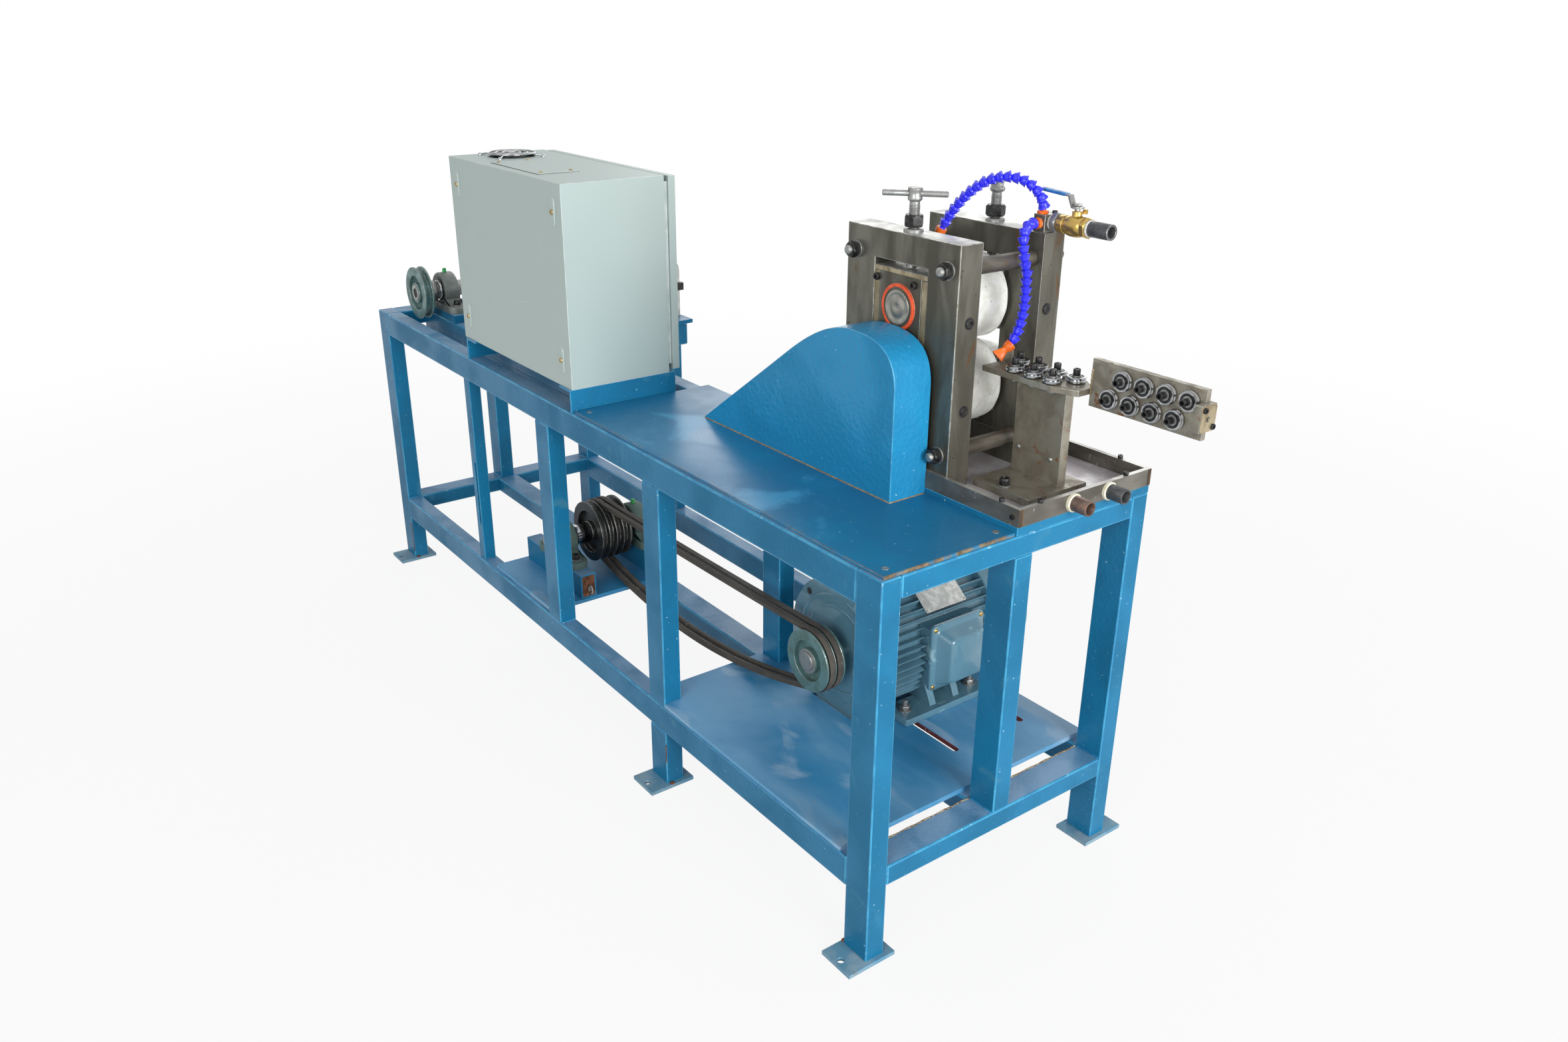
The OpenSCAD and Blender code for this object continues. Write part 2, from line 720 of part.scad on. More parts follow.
// Angles that carry the cabinet
module cabinet_seats() {
    color(blue) placed() {
        block([cab_x + 12, 0, table_h], [cab_x + 17, cab_y1 + 16, cab_z]);
        block([cab_x + 17, 0, cab_z - 5], [cab_x + 62, cab_y1 + 16, cab_z]);
        block([cab_x1 - 7, 0, table_h], [cab_x1 - 2, cab_y1 + 16, cab_z]);
        block([cab_x1 - 52, 0, cab_z - 5], [cab_x1 - 7, cab_y1 + 16, cab_z]);
    }
}

// Wire grille over the fan
module fan_grille() {
    z = cab_z + cab_h;
    color("silver") placed() translate([cab_x + 75, cab_y + 118, z]) {
        for (r = [20, 36, 52]) translate([0, 0, 7]) rotate_extrude()
            translate([r, 0]) circle(r = 2, $fn = 16);
        for (a = [45, 135]) rotate([0, 0, a]) bar_x(-74, 74, 0, 4.5, 2);
        for (a = [45:90:315]) rotate([0, 0, a]) translate([74, 0, 0]) cylinder(r = 4.5, h = 7);
        cylinder(r = 8, h = 9);
    }
}

// Motor with its flange, ribs, feet, terminal box and fan cowl
module motor() {
    color([0.27, 0.41, 0.47]) placed() translate([motor_x, 0, motor_z]) difference() {
        union() {
            bar_y(flange_y, flange_y + 14, 0, 0, 150);
            bar_y(flange_y + 14, flange_y + 50, 0, 0, 122);
            bar_y(flange_y + 50, flange_y + motor_l, 0, 0, 112);
            for (a = [-50:12.5:50], s = [0, 180]) rotate([0, s + a, 0])
                block([100, flange_y + 46, -2.5], [130, flange_y + motor_l + 2, 2.5]);
            for (a = [65, 77.5, 90, 102.5, 115]) rotate([0, -a, 0])
                block([100, flange_y + 46, -2.5], [130, flange_y + motor_l + 2, 2.5]);
            translate([0, flange_y + motor_l, 0]) rotate([-90, 0, 0]) rotate_extrude()
                polygon([[0, 0], [131, 0], [131, 85], [122, 104], [100, 118], [0, 125]]);
            for (s = [-1, 1]) {
                block([s*motor_foot_x - 34, flange_y + motor_foot_y[0] - 25, -motor_c],
                    [s*motor_foot_x + 34, flange_y + motor_foot_y[1] + 25, -motor_c + 15]);
                for (y = [flange_y + 80, flange_y + 258])
                    block([s*82 - 12, y, -motor_c + 10], [s*82 + 12, y + 16, -60]);
            }
            block([100, flange_y + 124, -62], [135, flange_y + 252, 62]);
            block([135, flange_y + 118, -70], [175, flange_y + 258, 74]);
        }
        bar_y(flange_y - 1, flange_y + 60, 0, 0, 19 + run);
        for (a = [45:90:315]) rotate([0, a, 0]) bar_y(flange_y - 1, flange_y + 15, 132.5, 0, 7.5);
        block([-151, flange_y - 1, -151], [151, flange_y + 15, 4 - motor_c - shelf_t]);
    }
}

// Grooved pulley with a dished front; the front face is at the origin and the axis is Y
module pulley(r, n, w) {
    rotate([-90, 0, 0]) difference() {
        cylinder(r = r, h = w);
        for (i = [0:n - 1]) translate([0, 0, 12.5 + i*groove_p]) rotate_extrude()
            polygon([[r - groove_d, -6.5], [r + 1, -8.5], [r + 1, 8.5], [r - groove_d, 6.5]]);
        translate([0, 0, -1]) difference() {
            cylinder(r = r - groove_d - 9, h = 13);
            cylinder(r = 26, h = 13);
        }
    }
}

// Motor shaft with its two-groove pulley
module motor_pulley() {
    color(cast) placed() translate([motor_x, 0, motor_z]) {
        bar_y(shaft_end_y, flange_y + 58, 0, 0, 19);
        translate([0, mp_y, 0]) pulley(mp_d/2, 2, mp_w);
    }
}

// Pillow block around a shaft along Y
module pillow() {
    difference() {
        union() {
            block([-92, -27, -block_c], [92, 27, -block_c + 18]);
            block([-46, -20, -block_c], [46, 20, 0]);
            bar_y(-20, 20, 0, 0, 46);
            bar_y(-25, 25, 0, 0, shaft_d/2 + 7);
            translate([0, 0, 44]) cylinder(r = 4, h = 12);
        }
        bar_y(-30, 30, 0, 0, shaft_d/2 + run);
    }
}

// Countershaft bearings
module counter_bearings() {
    color(cast) placed() for (y = cb_y) translate([counter_x, y, counter_z]) pillow();
}

// Countershaft with its four-groove pulley and long hub
module counter_pulley() {
    color(dark) placed() translate([counter_x, 0, counter_z]) {
        bar_y(cb_y[0] - 42, cb_y[1] + 42, 0, 0, shaft_d/2);
        bar_y(cb_y[0] + 31, cp_y + 20, 0, 0, 25);
        translate([0, cp_y, 0]) pulley(cp_d/2, 4, cp_w);
    }
}

// One loop around both pulleys at a height above the groove floors, with slack in both runs
function belt_loop(up) = let (
    r1 = cp_d/2 - groove_d + 1 + up, r2 = mp_d/2 - groove_d + 1 + up,
    c1 = [counter_x, counter_z], c2 = [motor_x, motor_z],
    d = c2 - c1, len = norm(d), a = atan2(d[1], d[0]), b = acos((r1 - r2)/len),
    t1 = c1 + r1*[cos(a + b), sin(a + b)], t2 = c2 + r2*[cos(a + b), sin(a + b)],
    u1 = c1 + r1*[cos(a - b), sin(a - b)], u2 = c2 + r2*[cos(a - b), sin(a - b)])
    concat(arc(c1[0], c1[1], r1, a + b, a - b + 360, 24),
        [for (i = [1:15]) u1 + (u2 - u1)*i/16 - [0, 4*60*(i/16)*(1 - i/16)]],
        arc(c2[0], c2[1], r2, a - b, a + b, 20),
        [for (i = [1:15]) t2 + (t1 - t2)*i/16 - [0, 4*3*(i/16)*(1 - i/16)]]);

// Pair of drive belts
module drive_belts() {
    color(dark) placed() for (i = [0, 1]) let (y = mp_y + 12.5 + i*groove_p + 5.8)
        translate([0, y, 0]) rotate([90, 0, 0]) linear_extrude(11.6) difference() {
            polygon(belt_loop(belt_h));
            polygon(belt_loop(0));
        }
}

// Take-up shaft bearings on their pads
module takeup_bearings() {
    color(cast) placed() for (y = tb_y) {
        translate([takeup_x, y, takeup_z]) pillow();
        block([takeup_x - 103, y - 27, table_h], [takeup_x + 106, y + 27, table_h + pad_h]);
    }
}

// Take-up shaft with its single-groove pulley
module takeup_pulley() {
    color(cast) placed() translate([takeup_x, 0, takeup_z]) {
        bar_y(tb_y[0] - 82, y_mid + 110, 0, 0, shaft_d/2);
        bar_y(tb_y[0] - 60, tb_y[0] - 31, 0, 0, 27);
        translate([0, tb_y[0] - 84, 0]) pulley(tp_d/2, 1, 25);
    }
}

// Wire guide on its plate at the far rail
module guide_stand() {
    color("silver") placed() {
        block([far_end - 160, y_far - 30, table_h], [far_end + 14, base_w + 8, table_h + 10]);
        block([far_end - 80, y_far - 10, table_h + 10], [far_end - 35, base_w, table_h + 150]);
        difference() {
            block([far_end - 88, y_far - 18, table_h + 80], [far_end - 27, base_w + 8, table_h + 100]);
            block([far_end - 80, y_far - 10, table_h + 79], [far_end - 35, base_w, table_h + 101]);
        }
    }
}

posts();
side_rails();
end_rails();
foot_plates();
shelf_plate();
counter_plate();
counter_stands();
table_plate();
bed_plate();
tray();
drain_pipes();
belt_guard();
near_housing();
rear_housing();
tie_rods();
near_chocks();
rear_chocks();
upper_roll();
lower_roll();
near_screw();
rear_screw();
bracket();
flat_straightener();
flat_rollers();
edge_straightener();
edge_rollers();
wire_guide();
manifold();
valve_body();
valve_lever();
inlet_pipe();
nozzle_hose();
arch_hose();
cabinet();
cabinet_door();
cabinet_seats();
fan_grille();
motor();
motor_pulley();
counter_bearings();
counter_pulley();
drive_belts();
takeup_bearings();
takeup_pulley();
guide_stand();
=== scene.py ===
"""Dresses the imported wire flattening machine: a finish for each of its solids, and the fine pieces on them.

Lengths are machine millimetres: X from the take-up end to the wire inlet, Y from the belt guard's side to
the door's side, Z up from the floor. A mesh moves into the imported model's frame as it is made.
"""

import logging
import math
from dataclasses import dataclass, field
from enum import Enum
from typing import Iterable, Optional, Sequence

import bmesh
import bpy
import numpy as np
from mathutils import Matrix, Vector


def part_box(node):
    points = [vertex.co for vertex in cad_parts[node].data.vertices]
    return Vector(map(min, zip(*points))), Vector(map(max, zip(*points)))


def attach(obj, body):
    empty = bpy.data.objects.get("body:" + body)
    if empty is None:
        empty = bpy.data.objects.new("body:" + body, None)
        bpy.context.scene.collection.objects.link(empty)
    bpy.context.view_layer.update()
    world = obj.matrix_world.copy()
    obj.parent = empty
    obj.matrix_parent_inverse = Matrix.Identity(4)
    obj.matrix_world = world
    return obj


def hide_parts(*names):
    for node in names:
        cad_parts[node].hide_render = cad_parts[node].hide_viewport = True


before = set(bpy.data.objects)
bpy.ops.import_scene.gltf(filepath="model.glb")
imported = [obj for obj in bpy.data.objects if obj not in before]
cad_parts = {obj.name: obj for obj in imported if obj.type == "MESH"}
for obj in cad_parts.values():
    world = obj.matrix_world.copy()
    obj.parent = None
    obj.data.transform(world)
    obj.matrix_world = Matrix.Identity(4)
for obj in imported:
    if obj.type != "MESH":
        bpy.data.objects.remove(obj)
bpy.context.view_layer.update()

log = logging.getLogger("machine")
Array = np.ndarray
Colour = tuple[float, float, float]
Point = Sequence[float]
CORNER = np.array([1050.0, 309.0, 0.0])
ROUND = 2 * math.pi
SHAFT_RADIUS = 20.25
RIGHT = (1, 0, 0)
FAR = (0, 1, 0)
NEAR = (0, -1, 0)
UP = (0, 0, 1)
DOWN = (0, 0, -1)
Seat = tuple[Point, Point]


# Surfaces


@dataclass
class Shape:
    """A surface: points in machine millimetres, and quads and triangles by point number."""

    points: Array
    quads: Array = field(default_factory=lambda: np.zeros((0, 4), int))
    tris: Array = field(default_factory=lambda: np.zeros((0, 3), int))

    def at(self, place: Point, along: Point = UP, spin: float = 0.0) -> "Shape":
        """Turns the shape's Z axis along a direction and moves its origin to a place.

        Args:
            place: where the origin goes.
            along: direction that Z turns to.
            spin: degrees of turn about Z before that.

        Returns:
            The turned and moved shape.
        """
        way = Vector(along).normalized()
        lean = Matrix.Rotation(math.acos(max(-1.0, min(1.0, way.z))), 3, "Y")
        spun = Matrix.Rotation(math.radians(spin), 3, "Z")
        turn = Matrix.Rotation(math.atan2(way.y, way.x), 3, "Z") @ lean @ spun
        return Shape(self.points @ np.array(turn).T + np.asarray(place, float), self.quads, self.tris)


def joined(shapes: Iterable[Shape]) -> Shape:
    """Puts several shapes into one, each with its point numbers moved on by the points before it.

    Args:
        shapes: the shapes.

    Returns:
        One shape.
    """
    parts = list(shapes)
    first = np.cumsum([0] + [len(part.points) for part in parts])
    return Shape(
        np.vstack([part.points for part in parts]),
        np.vstack([part.quads + n for part, n in zip(parts, first)]),
        np.vstack([part.tris + n for part, n in zip(parts, first)]),
    )


def woven(grid: Array, loop_u: bool = False, loop_v: bool = True, capped: bool = True) -> Shape:
    """Skins a grid: the cell (u, v) is the quad (u, v), (u, v+1), (u+1, v+1), (u+1, v).

    Args:
        grid: points, rows by columns by three.
        loop_u: whether the last row joins the first.
        loop_v: whether the last column joins the first.
        capped: whether the first and last row are closed by fans to their middles.

    Returns:
        The skin.
    """
    rows, columns = grid.shape[:2]
    number = np.arange(rows * columns).reshape(rows, columns)
    number = np.vstack([number, number[:1]]) if loop_u else number
    number = np.hstack([number, number[:, :1]]) if loop_v else number
    quads = np.stack([number[:-1, :-1], number[:-1, 1:], number[1:, 1:], number[1:, :-1]],
                     -1).reshape(-1, 4)
    points = grid.reshape(-1, 3)
    if not capped or loop_u:
        return Shape(points, quads)
    middles = np.stack([grid[0].mean(0), grid[-1].mean(0)])
    ends = [(number[0], rows * columns), (number[-1], rows * columns + 1)]
    fans = [np.stack([row[1:], row[:-1], np.full(len(row) - 1, apex)], -1) for row, apex in ends]
    return Shape(np.vstack([points, middles]), quads, np.vstack(fans))


def circle(radius: float, height: float, sides: int = 24, corners: int = 0) -> Array:
    """Gives a ring of points: radius times (cos t, sin t), pulled in to straight sides for a nut.

    Args:
        radius: radius, over the corners where there are any.
        height: Z of the ring.
        sides: number of points.
        corners: number of corners, or 0 for a round ring.

    Returns:
        The points.
    """
    angle = np.arange(sides) * ROUND / sides
    half = math.pi / corners if corners else 1.0
    reach = radius * (np.cos(half) / np.cos(np.mod(angle, 2 * half) - half) if corners else np.ones(sides))
    return np.stack([reach * np.cos(angle), reach * np.sin(angle), np.full(sides, height)], -1)


def turned(profile: Sequence[Point], sides: int = 32, hollow: bool = False) -> Shape:
    """Turns a profile of (radius, height) about Z: the point is (r cos t, r sin t, h).

    Args:
        profile: radius and height along the profile.
        sides: steps of a full turn.
        hollow: whether the profile is a closed line, which makes a ring.

    Returns:
        The turned surface, closed at its ends.
    """
    line = np.asarray(profile, float)[:, None, :]
    angle = (np.arange(sides) * ROUND / sides)[None, :]
    grid = np.stack([line[..., 0] * np.cos(angle), line[..., 0] * np.sin(angle), line[..., 1] + 0 * angle],
                    -1)
    return woven(grid, loop_u=hollow)


def stacked(outlines: Sequence[Array]) -> Shape:
    """Skins outlines that have the same number of points, one above the other, and closes both ends."""
    return woven(np.stack(outlines))


def level(outline: Array, height: float) -> Array:
    """Lays a flat outline of (x, y) points at a height."""
    return np.column_stack([outline, np.full(len(outline), height)])


def standing(outline: Array, y: float) -> Array:
    """Stands a flat outline of (x, z) points at a place along Y."""
    return np.column_stack([outline[:, 0], np.full(len(outline), y), outline[:, 1]])


def facing(outline: Array, x: float) -> Array:
    """Stands a flat outline of (y, z) points at a place along X."""
    return np.column_stack([np.full(len(outline), x), outline])


def slab(outline: Array, low: float, high: float) -> Shape:
    """Carries a flat outline of (x, y) points from one Z to another."""
    return stacked([level(outline, z) for z in (low, high)])


def block(low: Point, high: Point) -> Shape:
    """Gives the box between two corners, as a rectangle carried from the low Z to the high one."""
    (x0, y0, z0), (x1, y1, z1) = low, high
    return slab(np.array([(x0, y0), (x1, y0), (x1, y1), (x0, y1)], float), z0, z1)


def rounded(width: float, depth: float, radius: float, steps: int = 5) -> Array:
    """Gives a rectangle's outline about the origin with round corners: a quarter circle about each corner's
    own middle.

    Args:
        width: size along X.
        depth: size along Y.
        radius: radius of a corner.
        steps: points on a corner.

    Returns:
        The outline's (x, y) points.
    """
    angle = np.linspace(0, math.pi / 2, steps)
    quarter = radius * np.stack([np.cos(angle), np.sin(angle)], -1)
    x, y = width / 2 - radius, depth / 2 - radius
    turns = [np.array([[c, -s], [s, c]]) for c, s in ((1, 0), (0, 1), (-1, 0), (0, -1))]
    middles = np.array([[x, y], [-x, y], [-x, -y], [x, -y]])
    return np.vstack([quarter @ turn.T + middle for turn, middle in zip(turns, middles)])


def carried(section: Array, path: Array, side: Point, closed: bool = False) -> Shape:
    """Carries a flat section along a path: each section point is path + a * side + b * (tangent x side).

    Args:
        section: (a, b) points of the section, or one section for each point of the path.
        path: the path's points.
        side: direction that the section's first axis keeps to.
        closed: whether the path is a loop.

    Returns:
        The swept surface, closed at its ends.
    """
    line = np.asarray(path, float)
    ahead = (np.roll(line, -1, 0) - np.roll(line, 1, 0)) if closed else np.gradient(line, axis=0)
    ahead /= np.linalg.norm(ahead, axis=1, keepdims=True)
    across = np.asarray(side, float) - ahead * (ahead @ np.asarray(side, float))[:, None]
    across /= np.linalg.norm(across, axis=1, keepdims=True)
    over = np.cross(ahead, across)
    flat = np.broadcast_to(section, (len(line),) + np.asarray(section).shape[-2:])
    grid = line[:, None] + flat[..., :1] * across[:, None] + flat[..., 1:] * over[:, None]
    return woven(grid, loop_u=closed)


def curve_points(control: Sequence[Point], step: float) -> Array:
    """Gives points at even lengths, a step or a little more apart, along a cubic curve.

    The curve is (1-t)^3 a + 3t(1-t)^2 b + 3t^2(1-t) c + t^3 d, measured along forty chords.

    Args:
        control: the curve's four control points.
        step: least length between points.

    Returns:
        The points, from the curve's start to its end.
    """
    a, b, c, d = (np.asarray(point, float) for point in control)
    t = np.linspace(0, 1, 41)[:, None]
    line = (1 - t) ** 3 * a + 3 * t * (1 - t) ** 2 * b + 3 * t ** 2 * (1 - t) * c + t ** 3 * d
    run = np.concatenate([[0], np.cumsum(np.linalg.norm(np.diff(line, axis=0), axis=1))])
    lengths = np.linspace(0, run[-1], int(run[-1] // step) + 1)
    return np.stack([np.interp(lengths, run, line[:, axis]) for axis in range(3)], -1)


def arc(middle: Point, radius: float | Array, angles: Array) -> Array:
    """Gives points on a circle in a plane: the middle plus the radius times (cos t, sin t)."""
    return np.asarray(middle, float) + radius * np.stack([np.cos(angles), np.sin(angles)], -1)


def hung(start: Point, end: Point, sag: float, shares: Array) -> Array:
    """Gives points on a run that sags as a parabola: its chord, less 4 sag t (1 - t) on the second axis."""
    a, b, t = np.asarray(start, float), np.asarray(end, float), shares[:, None]
    return a + (b - a) * t - np.array([0, 4 * sag]) * t * (1 - t)


def bare_lengths(spans: Sequence[tuple[float, float]], rim: float) -> Shape:
    """Turns the bare lengths of a shaft about Z, each chamfered to a rim's radius at its ends."""
    return joined(turned([(rim, a), (SHAFT_RADIUS, a + 1), (SHAFT_RADIUS, b - 1), (rim, b)]) for a,
                  b in spans)


def bead(start: Point, end: Point, radius: float = 2.4) -> Shape:
    """Lays a weld bead: a round of eight sides carried along a line, with a radius that swells like a sine.

    Args:
        start: the line's start.
        end: its end.
        radius: mean radius.

    Returns:
        The bead, thinner at its two ends.
    """
    a, b = np.asarray(start, float), np.asarray(end, float)
    count = max(int(np.linalg.norm(b - a) / 2.5), 4)
    share = np.linspace(0, 1, count)
    swell = radius * (1 + 0.18 * np.sin(np.arange(count) * 2.1 + a.sum()))
    swell[[0, -1]] *= 0.5
    side = UP if abs((b - a)[2]) < 1 else RIGHT
    return carried(circle(1, 0, 8)[None, :, :2] * swell[:, None, None], a + share[:, None] * (b - a), side)


def cap_screw(radius: float, height: float) -> Shape:
    """Stacks a socket screw's head: round rows to a chamfered rim, then a six-sided socket inside."""
    rows = [(0.96, 0, 0), (1, 0.06, 0), (1, 0.88, 0), (0.92, 1, 0), (0.6, 1, 6), (0.56, 0.93, 6),
            (0.56, 0.5, 6)]
    return stacked([circle(radius * r, height * h, 24, corners) for r, h, corners in rows])


def hex_nut(radius: float, height: float) -> Shape:
    """Stacks a nut or bolt head: six-sided rows between rounded, chamfered faces."""
    rows = [(0.84, 0, 0), (0.99, 0.13, 6), (1, 0.2, 6), (1, 0.8, 6), (0.99, 0.87, 6), (0.84, 1, 0),
            (0.5, 1.0, 0)]
    return stacked([circle(radius * r, height * h, 24, corners) for r, h, corners in rows])


def washer(radius: float, height: float, bore: float = 0.3) -> Shape:
    """Turns a flat ring with slightly rounded rims."""
    r, edge = radius, 0.15 * height
    rim = [(r - edge, 0), (r, edge), (r, height - edge), (r - edge, height)]
    return turned([(bore * r, 0)] + rim + [(bore * r, height)], 28, hollow=True)


def dome(radius: float, height: float, stem: float = 0.0) -> Shape:
    """Turns a round head: a stem's wall, then a quarter ellipse up to the pole."""
    angle = np.linspace(0, math.pi / 2 - 0.12, 6)
    return turned([(radius, -stem)] + list(zip(radius * np.cos(angle), height * np.sin(angle))), 24)


def pan_screw(radius: float, height: float) -> Shape:
    """Stacks a pan-head screw: rows of a round crown, with a narrow slot sunk in it.

    Args:
        radius: radius of the head.
        height: height of the crown.

    Returns:
        The head.
    """
    angle = np.linspace(0, 1.1, 5)
    rows = [circle(radius * math.cos(a), height * math.sin(a) / math.sin(1.1), 24) for a in angle]
    slot = circle(1, height, 24) * np.array([radius * 0.42, radius * 0.1, 1])
    return stacked(rows + [slot, slot - np.array([0, 0, height * 0.5])])


# Finishes


def shade(red: int, green: int, blue: int) -> Colour:
    """Turns a colour seen on a screen into the linear light that a shader takes.

    Args:
        red: red, 0 to 255.
        green: green, 0 to 255.
        blue: blue, 0 to 255.

    Returns:
        The linear colour.
    """
    seen = np.array([red, green, blue]) / 255
    linear = np.where(seen <= 0.04045, seen / 12.92, ((seen + 0.055) / 1.055) ** 2.4)
    return tuple(float(value) for value in linear)


class Grain(Enum):
    """The small relief of a finish."""

    FINE = "fine"
    HAMMERED = "hammered"
    CAST = "cast"
    DRAWN_X = "drawn_x"
    DRAWN_Y = "drawn_y"
    DRAWN_Z = "drawn_z"


class Graph:
    """The nodes of one material, wired around a Principled shader."""

    def __init__(self, name: str) -> None:
        """Starts a material with a shader and the object's own coordinates.

        Args:
            name: the material's name.
        """
        self.material = bpy.data.materials.new(name)
        self.material.use_nodes = True
        self.tree = self.material.node_tree
        self.tree.nodes.clear()
        self.shader = self.add("ShaderNodeBsdfPrincipled")
        output = self.add("ShaderNodeOutputMaterial")
        self.tree.links.new(self.shader.outputs["BSDF"], output.inputs["Surface"])
        self.coordinates = self.add("ShaderNodeTexCoord").outputs["Object"]

    def add(self, kind: str, **settings: object) -> bpy.types.Node:
        """Adds a node.

        Args:
            kind: the node's type.
            settings: the node's own settings, by name.

        Returns:
            The node.
        """
        node = self.tree.nodes.new(kind)
        for key, value in settings.items():
            setattr(node, key, value)
        return node

    def feed(self, socket: bpy.types.NodeSocket, value: object) -> None:
        """Links a socket to another one, or sets it to a plain value.

        Args:
            socket: the socket that is fed.
            value: a socket, a colour or a number.
        """
        if isinstance(value, bpy.types.NodeSocket):
            self.tree.links.new(value, socket)
        elif isinstance(value, tuple) and socket.type == "RGBA":
            socket.default_value = (*value, 1.0)
        else:
            socket.default_value = value

    def noise(self, size: float, stretch: Point = (1, 1, 1), detail: float = 4.0, twist: float = 0.0,
              shift: float = 0.0) -> bpy.types.NodeSocket:
        """Gives soft noise.

        Args:
            size: size of a patch, mm.
            stretch: how much longer a patch is along each axis.
            detail: octaves.
            twist: distortion.
            shift: moves the pattern, so that two layers differ.

        Returns:
            The noise's socket, about 0.3 to 0.7.
        """
        mapping = self.add("ShaderNodeMapping")
        mapping.inputs["Scale"].default_value = [1000 / (size * s) for s in stretch]
        mapping.inputs["Location"].default_value = (shift, shift * 1.7, shift * 0.6)
        self.feed(mapping.inputs["Vector"], self.coordinates)
        node = self.add("ShaderNodeTexNoise")
        node.inputs["Scale"].default_value = 1.0
        node.inputs["Detail"].default_value = detail
        node.inputs["Distortion"].default_value = twist
        self.feed(node.inputs["Vector"], mapping.outputs["Vector"])
        return node.outputs["Fac"]

    def cells(self, size: float) -> bpy.types.NodeSocket:
        """Gives the smooth distance to scattered points.

        Args:
            size: size of a cell with about one point, mm.

        Returns:
            The distance's socket.
        """
        node = self.add("ShaderNodeTexVoronoi", feature="SMOOTH_F1")
        node.inputs["Scale"].default_value = 1000 / size
        node.inputs["Smoothness"].default_value = 0.6
        self.feed(node.inputs["Vector"], self.coordinates)
        return node.outputs["Distance"]

    def band(self, value: object, low: float, high: float, least: float = 0.0,
             most: float = 1.0) -> bpy.types.NodeSocket:
        """Maps a stretch of values smoothly to another one, and holds the ends.

        Args:
            value: what is mapped.
            low: where the stretch starts.
            high: where it ends.
            least: result at its start.
            most: result at its end.

        Returns:
            The result's socket.
        """
        node = self.add("ShaderNodeMapRange", interpolation_type="SMOOTHSTEP")
        for key, number in (("From Min", low), ("From Max", high), ("To Min", least), ("To Max", most)):
            node.inputs[key].default_value = number
        self.feed(node.inputs["Value"], value)
        return node.outputs["Result"]

    def blend(self, share: object, first: object, second: object) -> bpy.types.NodeSocket:
        """Mixes two colours.

        Args:
            share: share of the second.
            first: first colour.
            second: second colour.

        Returns:
            The mixed colour's socket.
        """
        node = self.add("ShaderNodeMix", data_type="RGBA")
        self.feed(node.inputs[0], share)
        self.feed(node.inputs[6], first)
        self.feed(node.inputs[7], second)
        return node.outputs[2]

    def times(self, first: object, second: object) -> bpy.types.NodeSocket:
        """Multiplies two numbers.

        Args:
            first: first number.
            second: second number.

        Returns:
            The product's socket.
        """
        node = self.add("ShaderNodeMath", operation="MULTIPLY")
        self.feed(node.inputs[0], first)
        self.feed(node.inputs[1], second)
        return node.outputs[0]

    def upward(self) -> bpy.types.NodeSocket:
        """Tells faces that look straight up from the others.

        Returns:
            A socket of 1 on those faces and 0 elsewhere.
        """
        apart = self.add("ShaderNodeSeparateXYZ")
        self.feed(apart.inputs[0], self.add("ShaderNodeNewGeometry").outputs["Normal"])
        return self.band(apart.outputs["Z"], 0.82, 0.96)

    def reach(self) -> bpy.types.NodeSocket:
        """Measures how far a point is from the object's origin.

        Returns:
            The distance's socket, m.
        """
        node = self.add("ShaderNodeVectorMath", operation="LENGTH")
        self.feed(node.inputs[0], self.coordinates)
        return node.outputs["Value"]

    def relief(self, height: bpy.types.NodeSocket, depth: float) -> None:
        """Feeds a height to the shader as a bump, on top of the last one.

        Args:
            height: the height, 0 to 1.
            depth: what 1 stands for, mm.
        """
        node = self.add("ShaderNodeBump")
        node.inputs["Strength"].default_value = 1.0
        node.inputs["Distance"].default_value = depth / 1000
        self.feed(node.inputs["Height"], height)
        normal = self.shader.inputs["Normal"]
        if normal.is_linked:
            self.feed(node.inputs["Normal"], normal.links[0].from_socket)
        self.feed(normal, node.outputs["Normal"])


